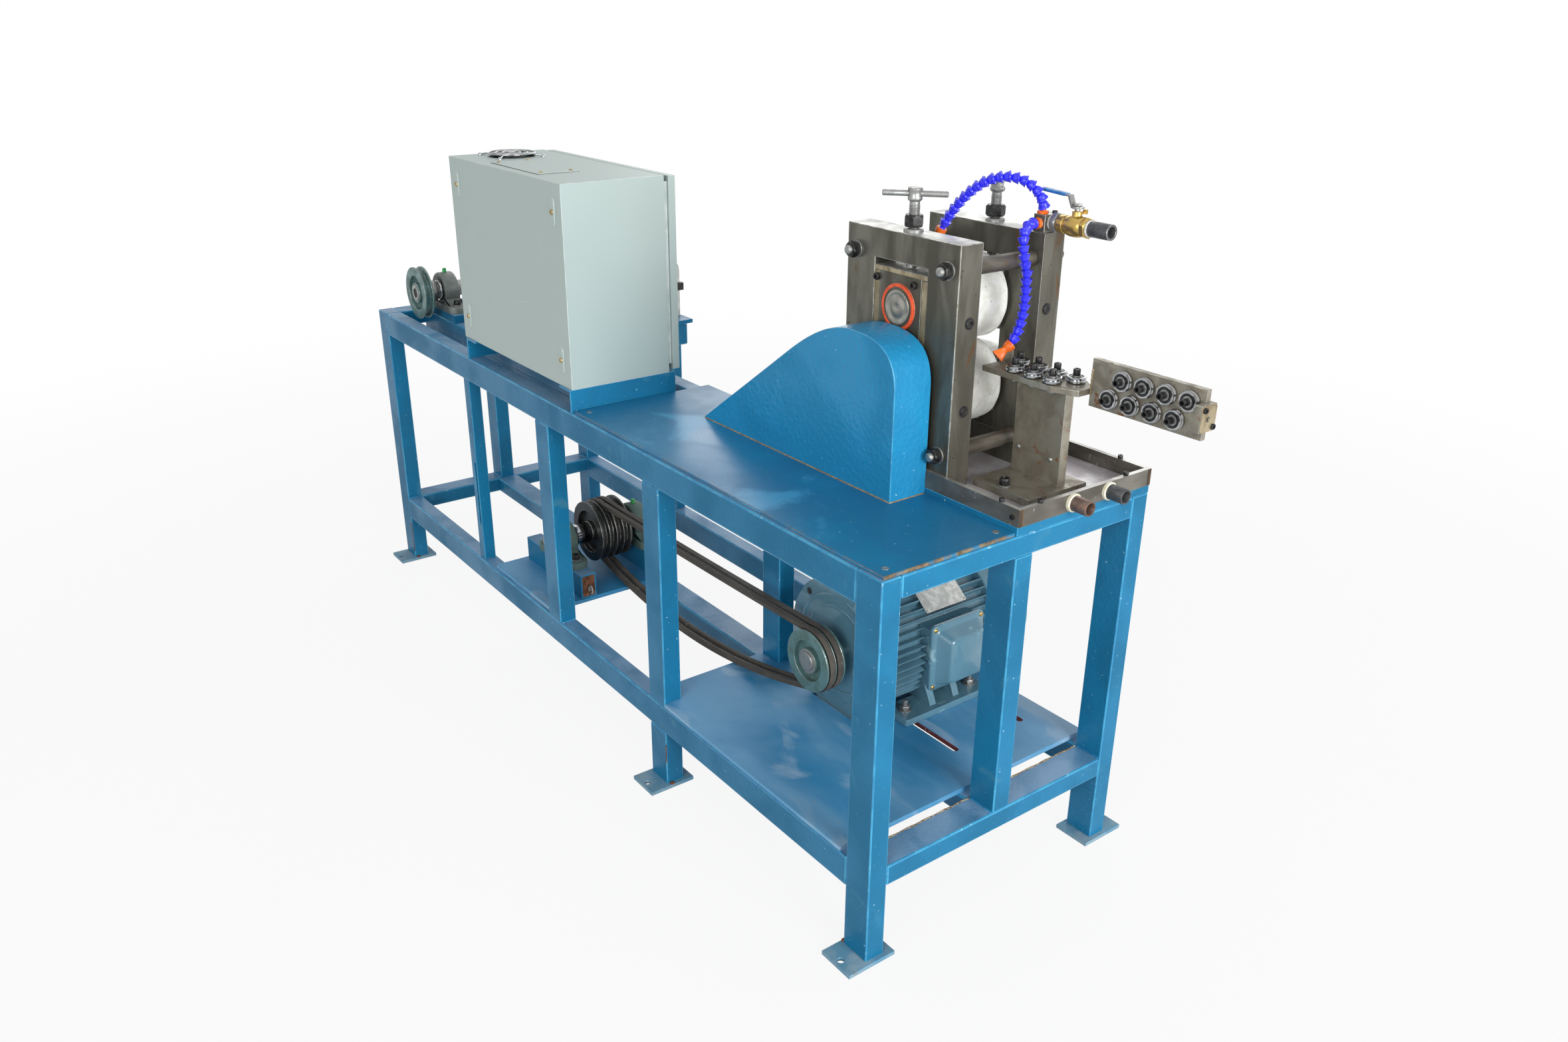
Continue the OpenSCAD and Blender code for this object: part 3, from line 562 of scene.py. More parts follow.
@dataclass(frozen=True)
class Finish:
    """One finish: a colour with soft patches, blots, specks, dust and a painted top highlight, and a small
    relief.
    """

    name: str
    colour: Colour
    rough: float = 0.45
    metal: float = 0.0
    patch: Optional[Colour] = None
    patch_size: float = 90.0
    patch_share: float = 0.5
    stretch: tuple[float, float, float] = (1, 1, 1)
    blot: Optional[Colour] = None
    blot_size: float = 30.0
    blot_share: float = 0.25
    blot_rough: float = 0.8
    speck: Optional[Colour] = None
    speck_size: float = 5.0
    speck_share: float = 0.2
    grain: Grain = Grain.FINE
    grain_size: float = 1.2
    depth: float = 0.02
    rough_change: float = 0.12
    coat: float = 0.0
    shine: float = 0.5
    # Paler colour on upward faces: dust, and also a painted highlight for the light that tops catch.
    dust_and_top_sheen: Optional[Colour] = None

    def material(self) -> bpy.types.Material:
        """Builds the material, or gives the one already built."""
        known = bpy.data.materials.get(self.name)
        return known if known else self.made()

    def made(self) -> bpy.types.Material:
        """Wires the patches, blots, specks, dust with its painted top highlight, roughness and relief.

        Returns:
            The new material.
        """
        graph = Graph(self.name)
        inputs = graph.shader.inputs
        colour: object = self.colour
        soft = graph.noise(self.patch_size, self.stretch, 5.0, 0.4)
        if self.patch:
            middle = 0.66 - 0.32 * self.patch_share
            colour = graph.blend(graph.band(soft, middle - 0.14, middle + 0.14), colour, self.patch)
        rough: object = graph.band(soft, 0.3, 0.7, self.rough - self.rough_change,
                                   self.rough + self.rough_change)
        if self.blot:
            middle = 0.7 - 0.3 * self.blot_share
            share = graph.band(graph.noise(self.blot_size, self.stretch, 6.0, 0.8, 3.1), middle - 0.05,
                               middle + 0.09)
            colour = graph.blend(share, colour, self.blot)
            node = graph.add("ShaderNodeMix", data_type="FLOAT")
            graph.feed(node.inputs[0], share)
            graph.feed(node.inputs[2], rough)
            graph.feed(node.inputs[3], self.blot_rough)
            rough = node.outputs[0]
        if self.speck:
            middle = 0.74 - 0.3 * self.speck_share
            share = graph.band(graph.noise(self.speck_size, (1, 1, 1), 2.0, 0.2, 7.3), middle - 0.02,
                               middle + 0.04)
            colour = graph.blend(share, colour, self.speck)
        # Upward faces turn paler: dust, and also a painted highlight standing in for the light on tops.
        if self.dust_and_top_sheen:
            mottled = graph.band(graph.noise(120, (1, 1, 1), 5.0, 0.5, 5.7), 0.3, 0.62, 0.3, 0.95)
            colour = graph.blend(graph.times(graph.upward(), mottled), colour, self.dust_and_top_sheen)
        graph.feed(inputs["Base Color"], colour)
        graph.feed(inputs["Roughness"], rough)
        inputs["Metallic"].default_value = self.metal
        inputs["Coat Weight"].default_value = self.coat
        inputs["Coat Roughness"].default_value = 0.12
        inputs["Specular IOR Level"].default_value = self.shine
        self.grained(graph)
        return graph.material

    def grained(self, graph: Graph) -> None:
        """Adds the finish's relief: dimples, a cast skin, or lines drawn along an axis.

        Args:
            graph: the material's nodes.
        """
        size = self.grain_size
        if self.grain is Grain.HAMMERED:
            graph.relief(graph.cells(size), self.depth)
            graph.relief(graph.noise(size * 0.45, detail=2.0), self.depth * 0.35)
        elif self.grain is Grain.CAST:
            graph.relief(graph.noise(size, detail=5.0), self.depth)
        else:
            lines = {Grain.DRAWN_X: (30, 1, 1), Grain.DRAWN_Y: (1, 30, 1), Grain.DRAWN_Z: (1, 1, 30)}
            graph.relief(graph.noise(size, lines.get(self.grain, (1, 1, 1)), 3.0), self.depth)


class Look:
    """The machine's finishes."""

    # Upward faces get dust and a painted highlight of the light on the tubes' tops.
    BLUE = Finish(
        "blue_hammertone", shade(26, 116, 158), 0.38, patch=shade(24, 104, 142), patch_size=160,
        blot=shade(58, 124, 154), blot_size=70, blot_share=0.1, blot_rough=0.5,
        speck=shade(150, 190, 205), speck_size=6, speck_share=0.005, grain=Grain.HAMMERED, grain_size=7,
        depth=0.4, shine=0.19, dust_and_top_sheen=shade(126, 162, 194))
    # The large pale cyan blots are partly worn paint and partly painted glare on the plate.
    TABLE_BLUE = Finish(
        "table_blue", shade(28, 122, 166), 0.34, patch=shade(24, 106, 148), patch_size=220,
        blot=shade(64, 146, 188), blot_size=170, blot_share=0.3, blot_rough=0.34,
        speck=shade(160, 196, 208), speck_size=6, speck_share=0.01, grain=Grain.CAST, grain_size=3,
        depth=0.02, shine=0.5)
    GUARD_BLUE = Finish(
        "guard_blue", shade(32, 138, 186), 0.36, patch=shade(28, 128, 174), patch_size=140,
        speck=shade(160, 200, 212), speck_size=6, speck_share=0.005, grain=Grain.HAMMERED, grain_size=9,
        depth=0.9, shine=0.3)
    DUSTY_BLUE = Finish(
        "dusty_blue", shade(56, 134, 180), 0.46, patch=shade(112, 166, 202), patch_size=190,
        stretch=(1.6, 1, 1), blot=shade(146, 180, 206), blot_size=120, blot_share=0.38, blot_rough=0.6,
        speck=shade(150, 150, 142), speck_size=7, speck_share=0.02, grain=Grain.CAST, grain_size=3,
        depth=0.02, shine=0.35)
    FOOT_BLUE = Finish(
        "foot_blue", shade(96, 142, 166), 0.6, patch=shade(134, 160, 174), patch_size=50,
        blot=shade(128, 122, 108), blot_size=24, blot_share=0.16, grain=Grain.CAST, depth=0.04, shine=0.3)
    # Edge finish: a lighter blue that is a painted highlight on the rounded corners, with small pale chips of
    # wear.
    BLUE_EDGE_HIGHLIGHT_AND_WEAR = Finish(
        "blue_edge_highlight_and_wear", shade(58, 152, 192), 0.34, patch=shade(40, 128, 172), patch_size=40,
        blot=shade(150, 196, 210), blot_size=12, blot_share=0.07, grain=Grain.FINE, depth=0.02)
    RUST_EDGE = Finish(
        "rusty_edge", shade(134, 118, 94), 0.75, patch=shade(98, 80, 60), patch_size=14,
        blot=shade(36, 118, 158), blot_size=36, blot_share=0.55, grain=Grain.CAST, depth=0.05)
    PRIMER = Finish(
        "red_primer", shade(126, 44, 48), 0.7, patch=shade(96, 38, 42), patch_size=12,
        blot=shade(206, 196, 186), blot_size=9, blot_share=0.2)
    DIRT = Finish(
        "dry_dirt", shade(164, 146, 116), 0.95, patch=shade(112, 92, 70), patch_size=9,
        blot=shade(202, 192, 170), blot_size=6, blot_share=0.3, grain=Grain.CAST, grain_size=2, depth=0.6)
    WELD = Finish(
        "painted_weld", shade(27, 106, 152), 0.4, patch=shade(40, 130, 175), patch_size=12,
        grain=Grain.CAST, grain_size=2, depth=0.1)
    # Upward faces are pale: a painted highlight of the glare on the machined tops, with some dust.
    STEEL = Finish(
        "oiled_steel", shade(112, 110, 100), 0.44, 0.6, patch=shade(80, 78, 68), patch_size=46,
        stretch=(1, 1, 4), blot=shade(98, 70, 44), blot_size=26, blot_share=0.12, blot_rough=0.6,
        speck=shade(66, 66, 62), speck_size=9, speck_share=0.1, grain=Grain.DRAWN_Z, grain_size=1.0,
        depth=0.012, rough_change=0.14, dust_and_top_sheen=shade(198, 198, 194))
    # Upward faces are pale: a painted highlight of the glare on the rim tops, with some dust.
    TRAY = Finish(
        "tray_steel", shade(126, 123, 115), 0.42, 0.6, patch=shade(94, 91, 84), patch_size=50,
        stretch=(2, 2, 1), blot=shade(112, 88, 62), blot_size=24, blot_share=0.16, blot_rough=0.7,
        speck=shade(176, 174, 166), speck_size=10, speck_share=0.12, grain=Grain.DRAWN_X, depth=0.012,
        dust_and_top_sheen=shade(198, 197, 192))
    # Pale partly for the floor's white film and partly as painted glare.
    TRAY_FLOOR_AND_GLARE = Finish(
        "tray_floor_and_glare", shade(204, 200, 203), 0.3, 0.2, patch=shade(172, 164, 168), patch_size=60,
        blot=shade(214, 214, 216), blot_size=40, blot_share=0.2, blot_rough=0.25, shine=0.6,
        grain=Grain.CAST, grain_size=20, depth=0.5)
    END_RUST = Finish(
        "bar_end", shade(98, 76, 50), 0.6, 0.3, patch=shade(66, 52, 38), patch_size=6, stretch=(1, 1, 8),
        blot=shade(140, 118, 88), blot_size=6, blot_share=0.3)
    BROWN_PIPE = Finish(
        "brown_pipe", shade(122, 102, 92), 0.42, 0.5, patch=shade(98, 80, 72), patch_size=18,
        blot=shade(146, 98, 70), blot_size=12, blot_share=0.2)
    CREAM = Finish(
        "pipe_tape", shade(232, 230, 212), 0.55, patch=shade(214, 208, 180), patch_size=8,
        grain=Grain.CAST, grain_size=1.5, depth=0.06)
    DISC = Finish(
        "turned_disc", shade(160, 157, 148), 0.4, 0.75, patch=shade(144, 141, 132), patch_size=16,
        grain=Grain.FINE, grain_size=0.8, depth=0.02)
    STEEL_EDGE = Finish(
        "bright_bevel", shade(190, 190, 182), 0.28, 0.95, patch=shade(140, 138, 130), patch_size=16)
    PLATE = Finish(
        "straightener_plate", shade(152, 147, 133), 0.46, 0.5, patch=shade(124, 117, 104), patch_size=30,
        blot=shade(122, 78, 46), blot_size=22, blot_share=0.16, blot_rough=0.75, grain=Grain.DRAWN_X,
        depth=0.012)
    BLACK = Finish(
        "black_oxide", shade(34, 34, 36), 0.38, 0.6, patch=shade(58, 57, 56), patch_size=8, depth=0.01)
    ROLL = Finish(
        "ground_roll", shade(150, 150, 148), 0.3, 0.9, patch=shade(112, 112, 108), patch_size=22,
        grain=Grain.DRAWN_Y, depth=0.008)
    ZINC = Finish(
        "zinc", shade(160, 161, 158), 0.4, 0.8, patch=shade(140, 141, 139), patch_size=14, depth=0.01)
    ROD = Finish(
        "rolled_rod", shade(116, 111, 101), 0.42, 0.6, patch=shade(86, 81, 72), patch_size=26,
        stretch=(1, 3, 1), blot=shade(104, 76, 52), blot_size=18, blot_share=0.12, grain=Grain.DRAWN_Y,
        depth=0.01)
    CHROME = Finish(
        "polished_ring", shade(174, 176, 178), 0.16, 1.0, patch=shade(150, 152, 154), patch_size=18,
        rough_change=0.05, depth=0.003)
    BRASS = Finish(
        "brass", shade(196, 158, 82), 0.3, 0.95, patch=shade(152, 116, 56), patch_size=12,
        blot=shade(110, 84, 48), blot_size=14, blot_share=0.12, depth=0.01)
    BRONZE = Finish(
        "wear_strip", shade(170, 158, 130), 0.46, 0.5, patch=shade(132, 118, 92), patch_size=18,
        stretch=(1, 1, 3), blot=shade(74, 62, 50), blot_size=16, blot_share=0.2, grain=Grain.DRAWN_Z)
    LEVER = Finish(
        "lever_vinyl", shade(44, 122, 190), 0.4, patch=shade(38, 106, 172), patch_size=15,
        grain=Grain.CAST, grain_size=2, depth=0.03)
    LINK = Finish(
        "hose_plastic", shade(42, 44, 214), 0.34, patch=shade(34, 36, 186), patch_size=9, coat=0.1,
        depth=0.006)
    ORANGE = Finish(
        "orange_plastic", shade(236, 112, 28), 0.36, patch=shade(214, 94, 20), patch_size=10, depth=0.008)
    SEAL = Finish(
        "seal_ring", shade(240, 92, 44), 0.42, patch=shade(216, 78, 40), patch_size=12,
        blot=shade(120, 60, 40), blot_size=12, blot_share=0.05)
    TAPE = Finish(
        "thread_tape", shade(228, 228, 222), 0.6, patch=shade(204, 202, 192), patch_size=6,
        grain=Grain.CAST, grain_size=1.5, depth=0.06)
    CABINET = Finish(
        "cabinet_paint", shade(168, 182, 180), 0.42, patch=shade(162, 176, 174), patch_size=200,
        shine=0.12, blot=shade(196, 204, 200), blot_size=60, blot_share=0.08, blot_rough=0.5,
        speck=shade(120, 124, 118), speck_size=7, speck_share=0.005, grain=Grain.CAST, grain_size=1.6,
        depth=0.03)
    CABINET_EDGE = Finish(
        "cabinet_edge", shade(200, 209, 205), 0.4, patch=shade(176, 188, 184), patch_size=30)
    MOTOR = Finish(
        "motor_enamel", shade(90, 130, 147), 0.24, patch=shade(82, 121, 138), patch_size=70,
        blot=shade(132, 166, 176), blot_size=40, blot_share=0.12, blot_rough=0.5, grain=Grain.CAST,
        grain_size=3, depth=0.05, coat=0.3)
    PULLEY = Finish(
        "pulley_cast", shade(98, 134, 134), 0.42, 0.2, patch=shade(82, 110, 106), patch_size=24,
        grain=Grain.CAST, grain_size=2.5, depth=0.05)
    BLACK_CAST = Finish(
        "black_cast", shade(44, 45, 46), 0.42, 0.3, patch=shade(60, 60, 58), patch_size=20,
        grain=Grain.CAST, grain_size=2.5, depth=0.05)
    CASTING = Finish(
        "bearing_paint", shade(104, 124, 116), 0.42, patch=shade(84, 102, 96), patch_size=30,
        blot=shade(70, 76, 66), blot_size=24, blot_share=0.18, grain=Grain.CAST, grain_size=3, depth=0.12)
    GREEN = Finish(
        "grease_cap", shade(52, 178, 84), 0.4, patch=shade(42, 156, 72), patch_size=6, depth=0.005)
    RUBBER = Finish(
        "belt_rubber", shade(62, 58, 53), 0.75, patch=shade(82, 76, 68), patch_size=30,
        blot=shade(104, 98, 88), blot_size=18, blot_share=0.15, grain=Grain.CAST, grain_size=1.4,
        depth=0.05)
    FOAM = Finish(
        "speckled_foam", shade(234, 235, 230), 0.9, patch=shade(218, 217, 208), patch_size=22,
        speck=shade(150, 154, 154), speck_size=5, speck_share=0.1, grain=Grain.CAST, grain_size=2.4,
        depth=0.4)
    RUST = Finish(
        "rust", shade(120, 72, 42), 0.85, patch=shade(84, 50, 34), patch_size=16,
        blot=shade(156, 104, 62), blot_size=12, blot_share=0.3, grain=Grain.CAST, grain_size=1.5,
        depth=0.15)
    PIPE = Finish(
        "grey_pipe", shade(92, 94, 96), 0.45, 0.5, patch=shade(70, 72, 74), patch_size=16, depth=0.02)
    BARE = Finish(
        "bare_plate", shade(204, 206, 202), 0.35, 0.8, patch=shade(180, 182, 178), patch_size=14,
        grain=Grain.DRAWN_X, depth=0.006)
    # Near black: painted shade inside holes, slots, bores and the cover's gap, and the fan's black blades.
    HOLE_SHADE_AND_BLACK = Finish("painted_hole_shade_and_black", shade(20, 21, 22), 0.7, patch=shade(32, 32, 32), patch_size=10)
    TAN = Finish(
        "tan_block", shade(168, 142, 104), 0.5, 0.4, patch=shade(140, 112, 80), patch_size=12,
        blot=shade(92, 66, 44), blot_size=10, blot_share=0.2, grain=Grain.CAST, depth=0.04)
    YELLOW_ZINC = Finish(
        "yellow_zinc", shade(176, 158, 116), 0.34, 0.9, patch=shade(140, 124, 92), patch_size=5)
    GREY_CAST = Finish(
        "grey_casting", shade(128, 134, 130), 0.44, 0.2, patch=shade(104, 110, 106), patch_size=30,
        blot=shade(84, 86, 78), blot_size=22, blot_share=0.14, grain=Grain.CAST, grain_size=3, depth=0.1)
    ALUMINIUM = Finish(
        "guide_aluminium", shade(196, 198, 194), 0.4, 0.6, patch=shade(172, 174, 170), patch_size=24,
        grain=Grain.DRAWN_Z, depth=0.01)


# Making and dressing


def piece(name: str, shape: Shape, finish: Finish, body: str = "base", bevel: float = 0.0,
          stands_for: Sequence[str] = (), sharp: float = 38.0) -> bpy.types.Object:
    """Makes one piece, with its faces outward and its finish, and lets it ride on a body.

    Args:
        name: the piece's name.
        shape: its surface.
        finish: its finish.
        body: the body it rides on.
        bevel: width of its rounded edges, mm, or 0.
        stands_for: nodes of the model that it replaces.
        sharp: angle, degrees, over which an edge stays sharp.

    Returns:
        The new object.
    """
    mesh = bpy.data.meshes.new(name)
    faces = shape.quads.tolist() + shape.tris.tolist()
    mesh.from_pydata((shape.points - CORNER) / 1000, [], faces)
    outward = bmesh.new()
    outward.from_mesh(mesh)
    bmesh.ops.recalc_face_normals(outward, faces=outward.faces)
    outward.to_mesh(mesh)
    outward.free()
    mesh.shade_smooth()
    mesh.set_sharp_from_angle(angle=math.radians(sharp))
    mesh.materials.append(finish.material())
    made = bpy.data.objects.new(name, mesh)
    bpy.context.scene.collection.objects.link(made)
    if bevel:
        rounding(made, bevel)
    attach(made, body)
    if stands_for:
        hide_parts(*stands_for)
    log.info("%s: %d faces on %s", name, len(faces), body)
    return made


def rounding(obj: bpy.types.Object, width: float, finish_slot: int = -1) -> None:
    """Adds rounded edges.

    Args:
        obj: the object.
        width: their width, mm.
        finish_slot: number of their material slot, or -1 for that of the faces beside them.
    """
    bevel = obj.modifiers.new("rounding", "BEVEL")
    bevel.width = width / 1000
    bevel.segments = 2
    bevel.limit_method = "ANGLE"
    bevel.angle_limit = math.radians(34)
    bevel.use_clamp_overlap = True
    bevel.harden_normals = True
    bevel.material = finish_slot


def dress(nodes: Sequence[str], finish: Finish, edge: Optional[Finish] = None, width: float = 0.0) -> None:
    """Gives solids of the model their finish, and rounded edges with a finish of their own.

    Args:
        nodes: the nodes' names.
        finish: finish of the faces.
        edge: finish of the rounded edges.
        width: width of the rounded edges, mm, or 0.
    """
    for name in nodes:
        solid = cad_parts[name]
        while len(solid.data.materials) < (2 if edge else 1):
            solid.data.materials.append(None)
        for place, coat in zip(solid.material_slots, (finish, edge)):
            place.link = "OBJECT"
            place.material = coat.material()
        if width:
            weld = solid.modifiers.new("weld", "WELD")
            weld.merge_threshold = 2e-5
            flat = solid.modifiers.new("flat", "DECIMATE")
            flat.decimate_type = "DISSOLVE"
            flat.angle_limit = math.radians(0.4)
            rounding(solid, width, 1 if edge else -1)
        log.info("%s dressed in %s", name, finish.name)


# Studio


@dataclass
class Studio:
    """Camera, floor and light."""

    place: Point = (2.26939, -1.41013, 1.52960)
    azimuth: float = 53.0373
    elevation: float = 23.1448
    roll: float = 0.5344
    lens: float = 28.175
    lamps: tuple[tuple[str, Point, float, float], ...] = (
        ("front", (3.0, -4.4, 2.2), 2.4, 104.0),
        ("right", (6.6, -0.2, 2.0), 2.8, 335.0),
        ("top", (0.2, 0.3, 3.9), 3.0, 6.0),
        ("sheen", (-2.6, 3.2, 2.6), 3.2, 42.0),
    )

    def build(self) -> None:
        """Builds the camera, the floor, the sky and the lamps."""
        self.camera()
        self.floor()
        self.sky()
        for name, place, size, power in self.lamps:
            self.lamp(name, place, (0.2, 0.0, 0.65), size, power)

    def camera(self) -> None:
        """Sets the camera from its azimuth, elevation and roll: it looks along minus its back direction."""
        a, e, r = (math.radians(value) for value in (self.azimuth, self.elevation, self.roll))
        back = Vector((math.sin(a) * math.cos(e), -math.cos(a) * math.cos(e), math.sin(e)))
        right = (-back).cross(Vector(UP)).normalized()
        up = back.cross(right)
        turned_right = right * math.cos(r) + up * math.sin(r)
        turned_up = up * math.cos(r) - right * math.sin(r)
        data = bpy.data.cameras.new("camera")
        data.lens = self.lens
        data.sensor_width = 36.0
        camera = bpy.data.objects.new("camera", data)
        columns = Matrix((turned_right, turned_up, back)).transposed()
        camera.matrix_world = Matrix.Translation(self.place) @ columns.to_4x4()
        bpy.context.scene.collection.objects.link(camera)
        bpy.context.scene.camera = camera

    def floor(self) -> None:
        """Lays a pale floor: a flat square grid around the machine, near white to the eye but for the
        shadow, and wholly white further out."""
        line = np.linspace(-14, 14, 9)
        grid = np.stack(np.meshgrid(line, line, indexing="ij") + [np.zeros((9, 9))], -1)
        shape = woven(grid, loop_v=False, capped=False)
        mesh = bpy.data.meshes.new("floor")
        mesh.from_pydata(shape.points, [], shape.quads[:, ::-1].tolist())
        graph = Graph("floor_paint")
        tone = graph.band(graph.noise(900), 0.3, 0.7)
        graph.feed(graph.shader.inputs["Base Color"],
                   graph.blend(tone, (0.58, 0.58, 0.57), (0.55, 0.55, 0.54)))
        graph.shader.inputs["Roughness"].default_value = 0.8
        pale = graph.add("ShaderNodeEmission")
        far = graph.band(graph.reach(), 1.3, 4.2, 0.9, 1.0)
        seen = graph.times(self.looked_at(graph.tree), far)
        mix = graph.add("ShaderNodeMixShader")
        graph.feed(mix.inputs[0], seen)
        graph.feed(mix.inputs[1], graph.shader.outputs["BSDF"])
        graph.feed(mix.inputs[2], pale.outputs["Emission"])
        output = next(node for node in graph.tree.nodes if node.type == "OUTPUT_MATERIAL")
        graph.feed(output.inputs["Surface"], mix.outputs[0])
        mesh.materials.append(graph.material)
        floor = bpy.data.objects.new("floor", mesh)
        bpy.context.scene.collection.objects.link(floor)

    def looked_at(self, tree: bpy.types.NodeTree) -> bpy.types.NodeSocket:
        """Gives 1 for rays from the camera, a reflection or through glass, and 0 for the others.

        Args:
            tree: the nodes that it is added to.

        Returns:
            The socket.
        """
        rays = tree.nodes.new("ShaderNodeLightPath")
        total = rays.outputs["Is Camera Ray"]
        for name in ("Is Glossy Ray", "Is Transmission Ray"):
            larger = tree.nodes.new("ShaderNodeMath")
            larger.operation = "MAXIMUM"
            tree.links.new(total, larger.inputs[0])
            tree.links.new(rays.outputs[name], larger.inputs[1])
            total = larger.outputs[0]
        return total

    def sky(self) -> None:
        """Fills the world: white for the eye and for mirrors, dimmer as light."""
        world = bpy.data.worlds.new("studio")
        world.use_nodes = True
        bpy.context.scene.world = world
        tree = world.node_tree
        tree.nodes.clear()
        seen = tree.nodes.new("ShaderNodeBackground")
        seen.inputs["Color"].default_value = (1, 1, 1, 1)
        light = tree.nodes.new("ShaderNodeBackground")
        light.inputs["Color"].default_value = (0.95, 0.98, 1, 1)
        light.inputs["Strength"].default_value = 0.45
        mix = tree.nodes.new("ShaderNodeMixShader")
        output = tree.nodes.new("ShaderNodeOutputWorld")
        tree.links.new(self.looked_at(tree), mix.inputs[0])
        tree.links.new(light.outputs[0], mix.inputs[1])
        tree.links.new(seen.outputs[0], mix.inputs[2])
        tree.links.new(mix.outputs[0], output.inputs[0])

    def lamp(self, name: str, place: Point, target: Point, size: float, power: float) -> None:
        """Hangs a square soft lamp that faces a target.

        Args:
            name: the lamp's name.
            place: where it hangs, m.
            target: what it faces, m.
            size: its side, m.
            power: its power, W.
        """
        data = bpy.data.lights.new(name, "AREA")
        data.size = size
        data.energy = power
        lamp = bpy.data.objects.new(name, data)
        lamp.location = place
        lamp.rotation_euler = (Vector(target) - Vector(place)).to_track_quat("-Z", "Y").to_euler()
        bpy.context.scene.collection.objects.link(lamp)


# Sub-assemblies


@dataclass
class BaseFrame:
    """Welded tube frame with its shelf, plates, feet and tube stands."""

    table: float = 732.0
    shelf: float = 192.0
    tube: float = 60.0
    posts: tuple[float, ...] = (0.0, 942.0, 1398.0, 2040.0)
    stands: tuple[float, ...] = (90.0, 290.0)

    def build(self) -> None:
        """Dresses the frame and adds its welds and the stands' rusty insides."""
        dress(("posts", "side_rails", "end_rails"), Look.BLUE, Look.BLUE_EDGE_HIGHLIGHT_AND_WEAR, 3.6)
        dress(("counter_stands", "bed_plate", "cabinet_seats"), Look.BLUE, Look.BLUE_EDGE_HIGHLIGHT_AND_WEAR, 1.4)
        dress(("shelf_plate", "counter_plate"), Look.DUSTY_BLUE, Look.BLUE_EDGE_HIGHLIGHT_AND_WEAR, 1.2)
        dress(("foot_plates",), Look.FOOT_BLUE, Look.BLUE_EDGE_HIGHLIGHT_AND_WEAR, 1.2)
        self.welds()
        self.stand_ends()
        self.shelf_wear()
        piece("bearer_lip", block((60, 107, 672), (1130, 109, 693)), Look.BLUE)
        chips = [block((58.4, -0.3, 26), (60.3, 1.4, 118)), block((1456, -0.3, 60), (1458.2, 1.2, 104))]
        chips += [dome(5, 4, 0.5).at((x, y, 8)) for x, y in ((63, 8), (1461, 10), (2036, 5))]
        piece("rust_chips", joined(chips), Look.RUST, bevel=0.4)

    def shelf_wear(self) -> None:
        """Lines the shelf's adjusting slots with primer, and lays dirt along its end and a seam along its
        near edge.

        A slot's wall is a long round outline, 190 mm between its centres, carried down the plate. The dirt
        is a low ridge whose width and height follow two sines along the rail.
        """
        rows = ((7.0, 192.4), (7.0, 201.9), (6.6, 201.9), (6.6, 192.4))
        wall = np.stack([level(rounded(190 + 2 * r, 2 * r, r, 10), z) for r, z in rows])
        walls = [woven(wall + (x + 50, y, 0), loop_u=True) for y in (366, 544) for x in (1562, 1778)]
        piece("slot_primer", joined(walls), Look.PRIMER)
        run = np.linspace(44, 574, 120)
        wide = 3.2 + 1.6 * np.sin(run / 9) * np.sin(run / 31)
        tall = 1.2 + 0.7 * np.sin(run / 7 + 1)
        low = np.full(120, -0.4)
        sides = [(np.zeros(120), low), (np.full(120, 0.3), tall), (wide * 0.6, tall), (wide, low)]
        grid = np.stack([np.stack([self.posts[-1] + 0.6 + a, run, self.shelf + b], -1) for a, b in sides],
                        1)
        piece("shelf_dirt", woven(grid), Look.DIRT)
        seam = bead((1460, 0.4, 192.6), (2036, 0.4, 192.6), 1.8)
        piece("shelf_seam", seam, Look.WELD)

    def welds(self) -> None:
        """Lays a bead in each inner corner between posts and rails: across the tube at the near and far
        sides, along it at the two ends."""
        edges = [x + side for x in self.posts for side in (0, self.tube) if 0 < x + side < 2100]
        lines = [((x, y + 3, z), (x, y + 37, z)) for x in edges for y in (0, 578)
                 for z in (self.shelf, self.table - self.tube)
                 if not (y and (900 < x < 1100 or (x < 1400 and z > 600 and x > 100)))]
        lines += [((x + 3, y, z), (x + 57, y, z)) for x in (0, 2040) for y in (40, 289, 329, 578)
                  for z in (self.shelf, self.table - 40)]
        piece("weld_beads", joined(bead(a, b) for a, b in lines), Look.WELD)

    def stand_ends(self) -> None:
        """Fills the stands' open ends with a rusty hollow, an eye bolt and a square-headed bolt.

        The hollow is a four-sided cup: outline rows along the tube, in at its rim and back to its floor.
        """
        corners = np.array([(-1, -1), (1, -1), (1, 1), (-1, 1)])
        rows = [(0.3, 16.0, 26.0), (40.0, 15.6, 25.6), (40.5, 1.0, 1.0)]
        rows += [(depth + 1, a, b) for depth, a, b in rows[::-1]]
        cups = [stacked([facing(corners * (a, b) + (y + 20, 232), x + way * depth) for depth, a, b in rows])
                for y in self.stands for x, way in ((938.0, -1), (652.0, 1))]
        piece("stand_rust", joined(cups), Look.RUST)
        hoop = standing(arc((946, 226), 9, np.linspace(0, ROUND, 24, endpoint=False)), 110)
        eye = carried(circle(2.6, 0, 10)[:, :2], hoop, FAR, closed=True)
        shank = turned([(2.8, 0), (2.8, 34), (2.2, 35)], 12).at((902, 110, 226), RIGHT)
        head = stacked([circle(8 * r, h, 24, 4) for r, h in ((0.9, 0), (1, 1), (1, 7), (0.9, 8))])
        thread = turned([(4, 0), (4, 30), (3.6, 31)], 12)
        bolt = [head.at((936, 310, 240), RIGHT, 45), thread.at((906, 310, 240), RIGHT)]
        piece("stand_bolts", joined([eye, shank] + bolt), Look.ZINC)


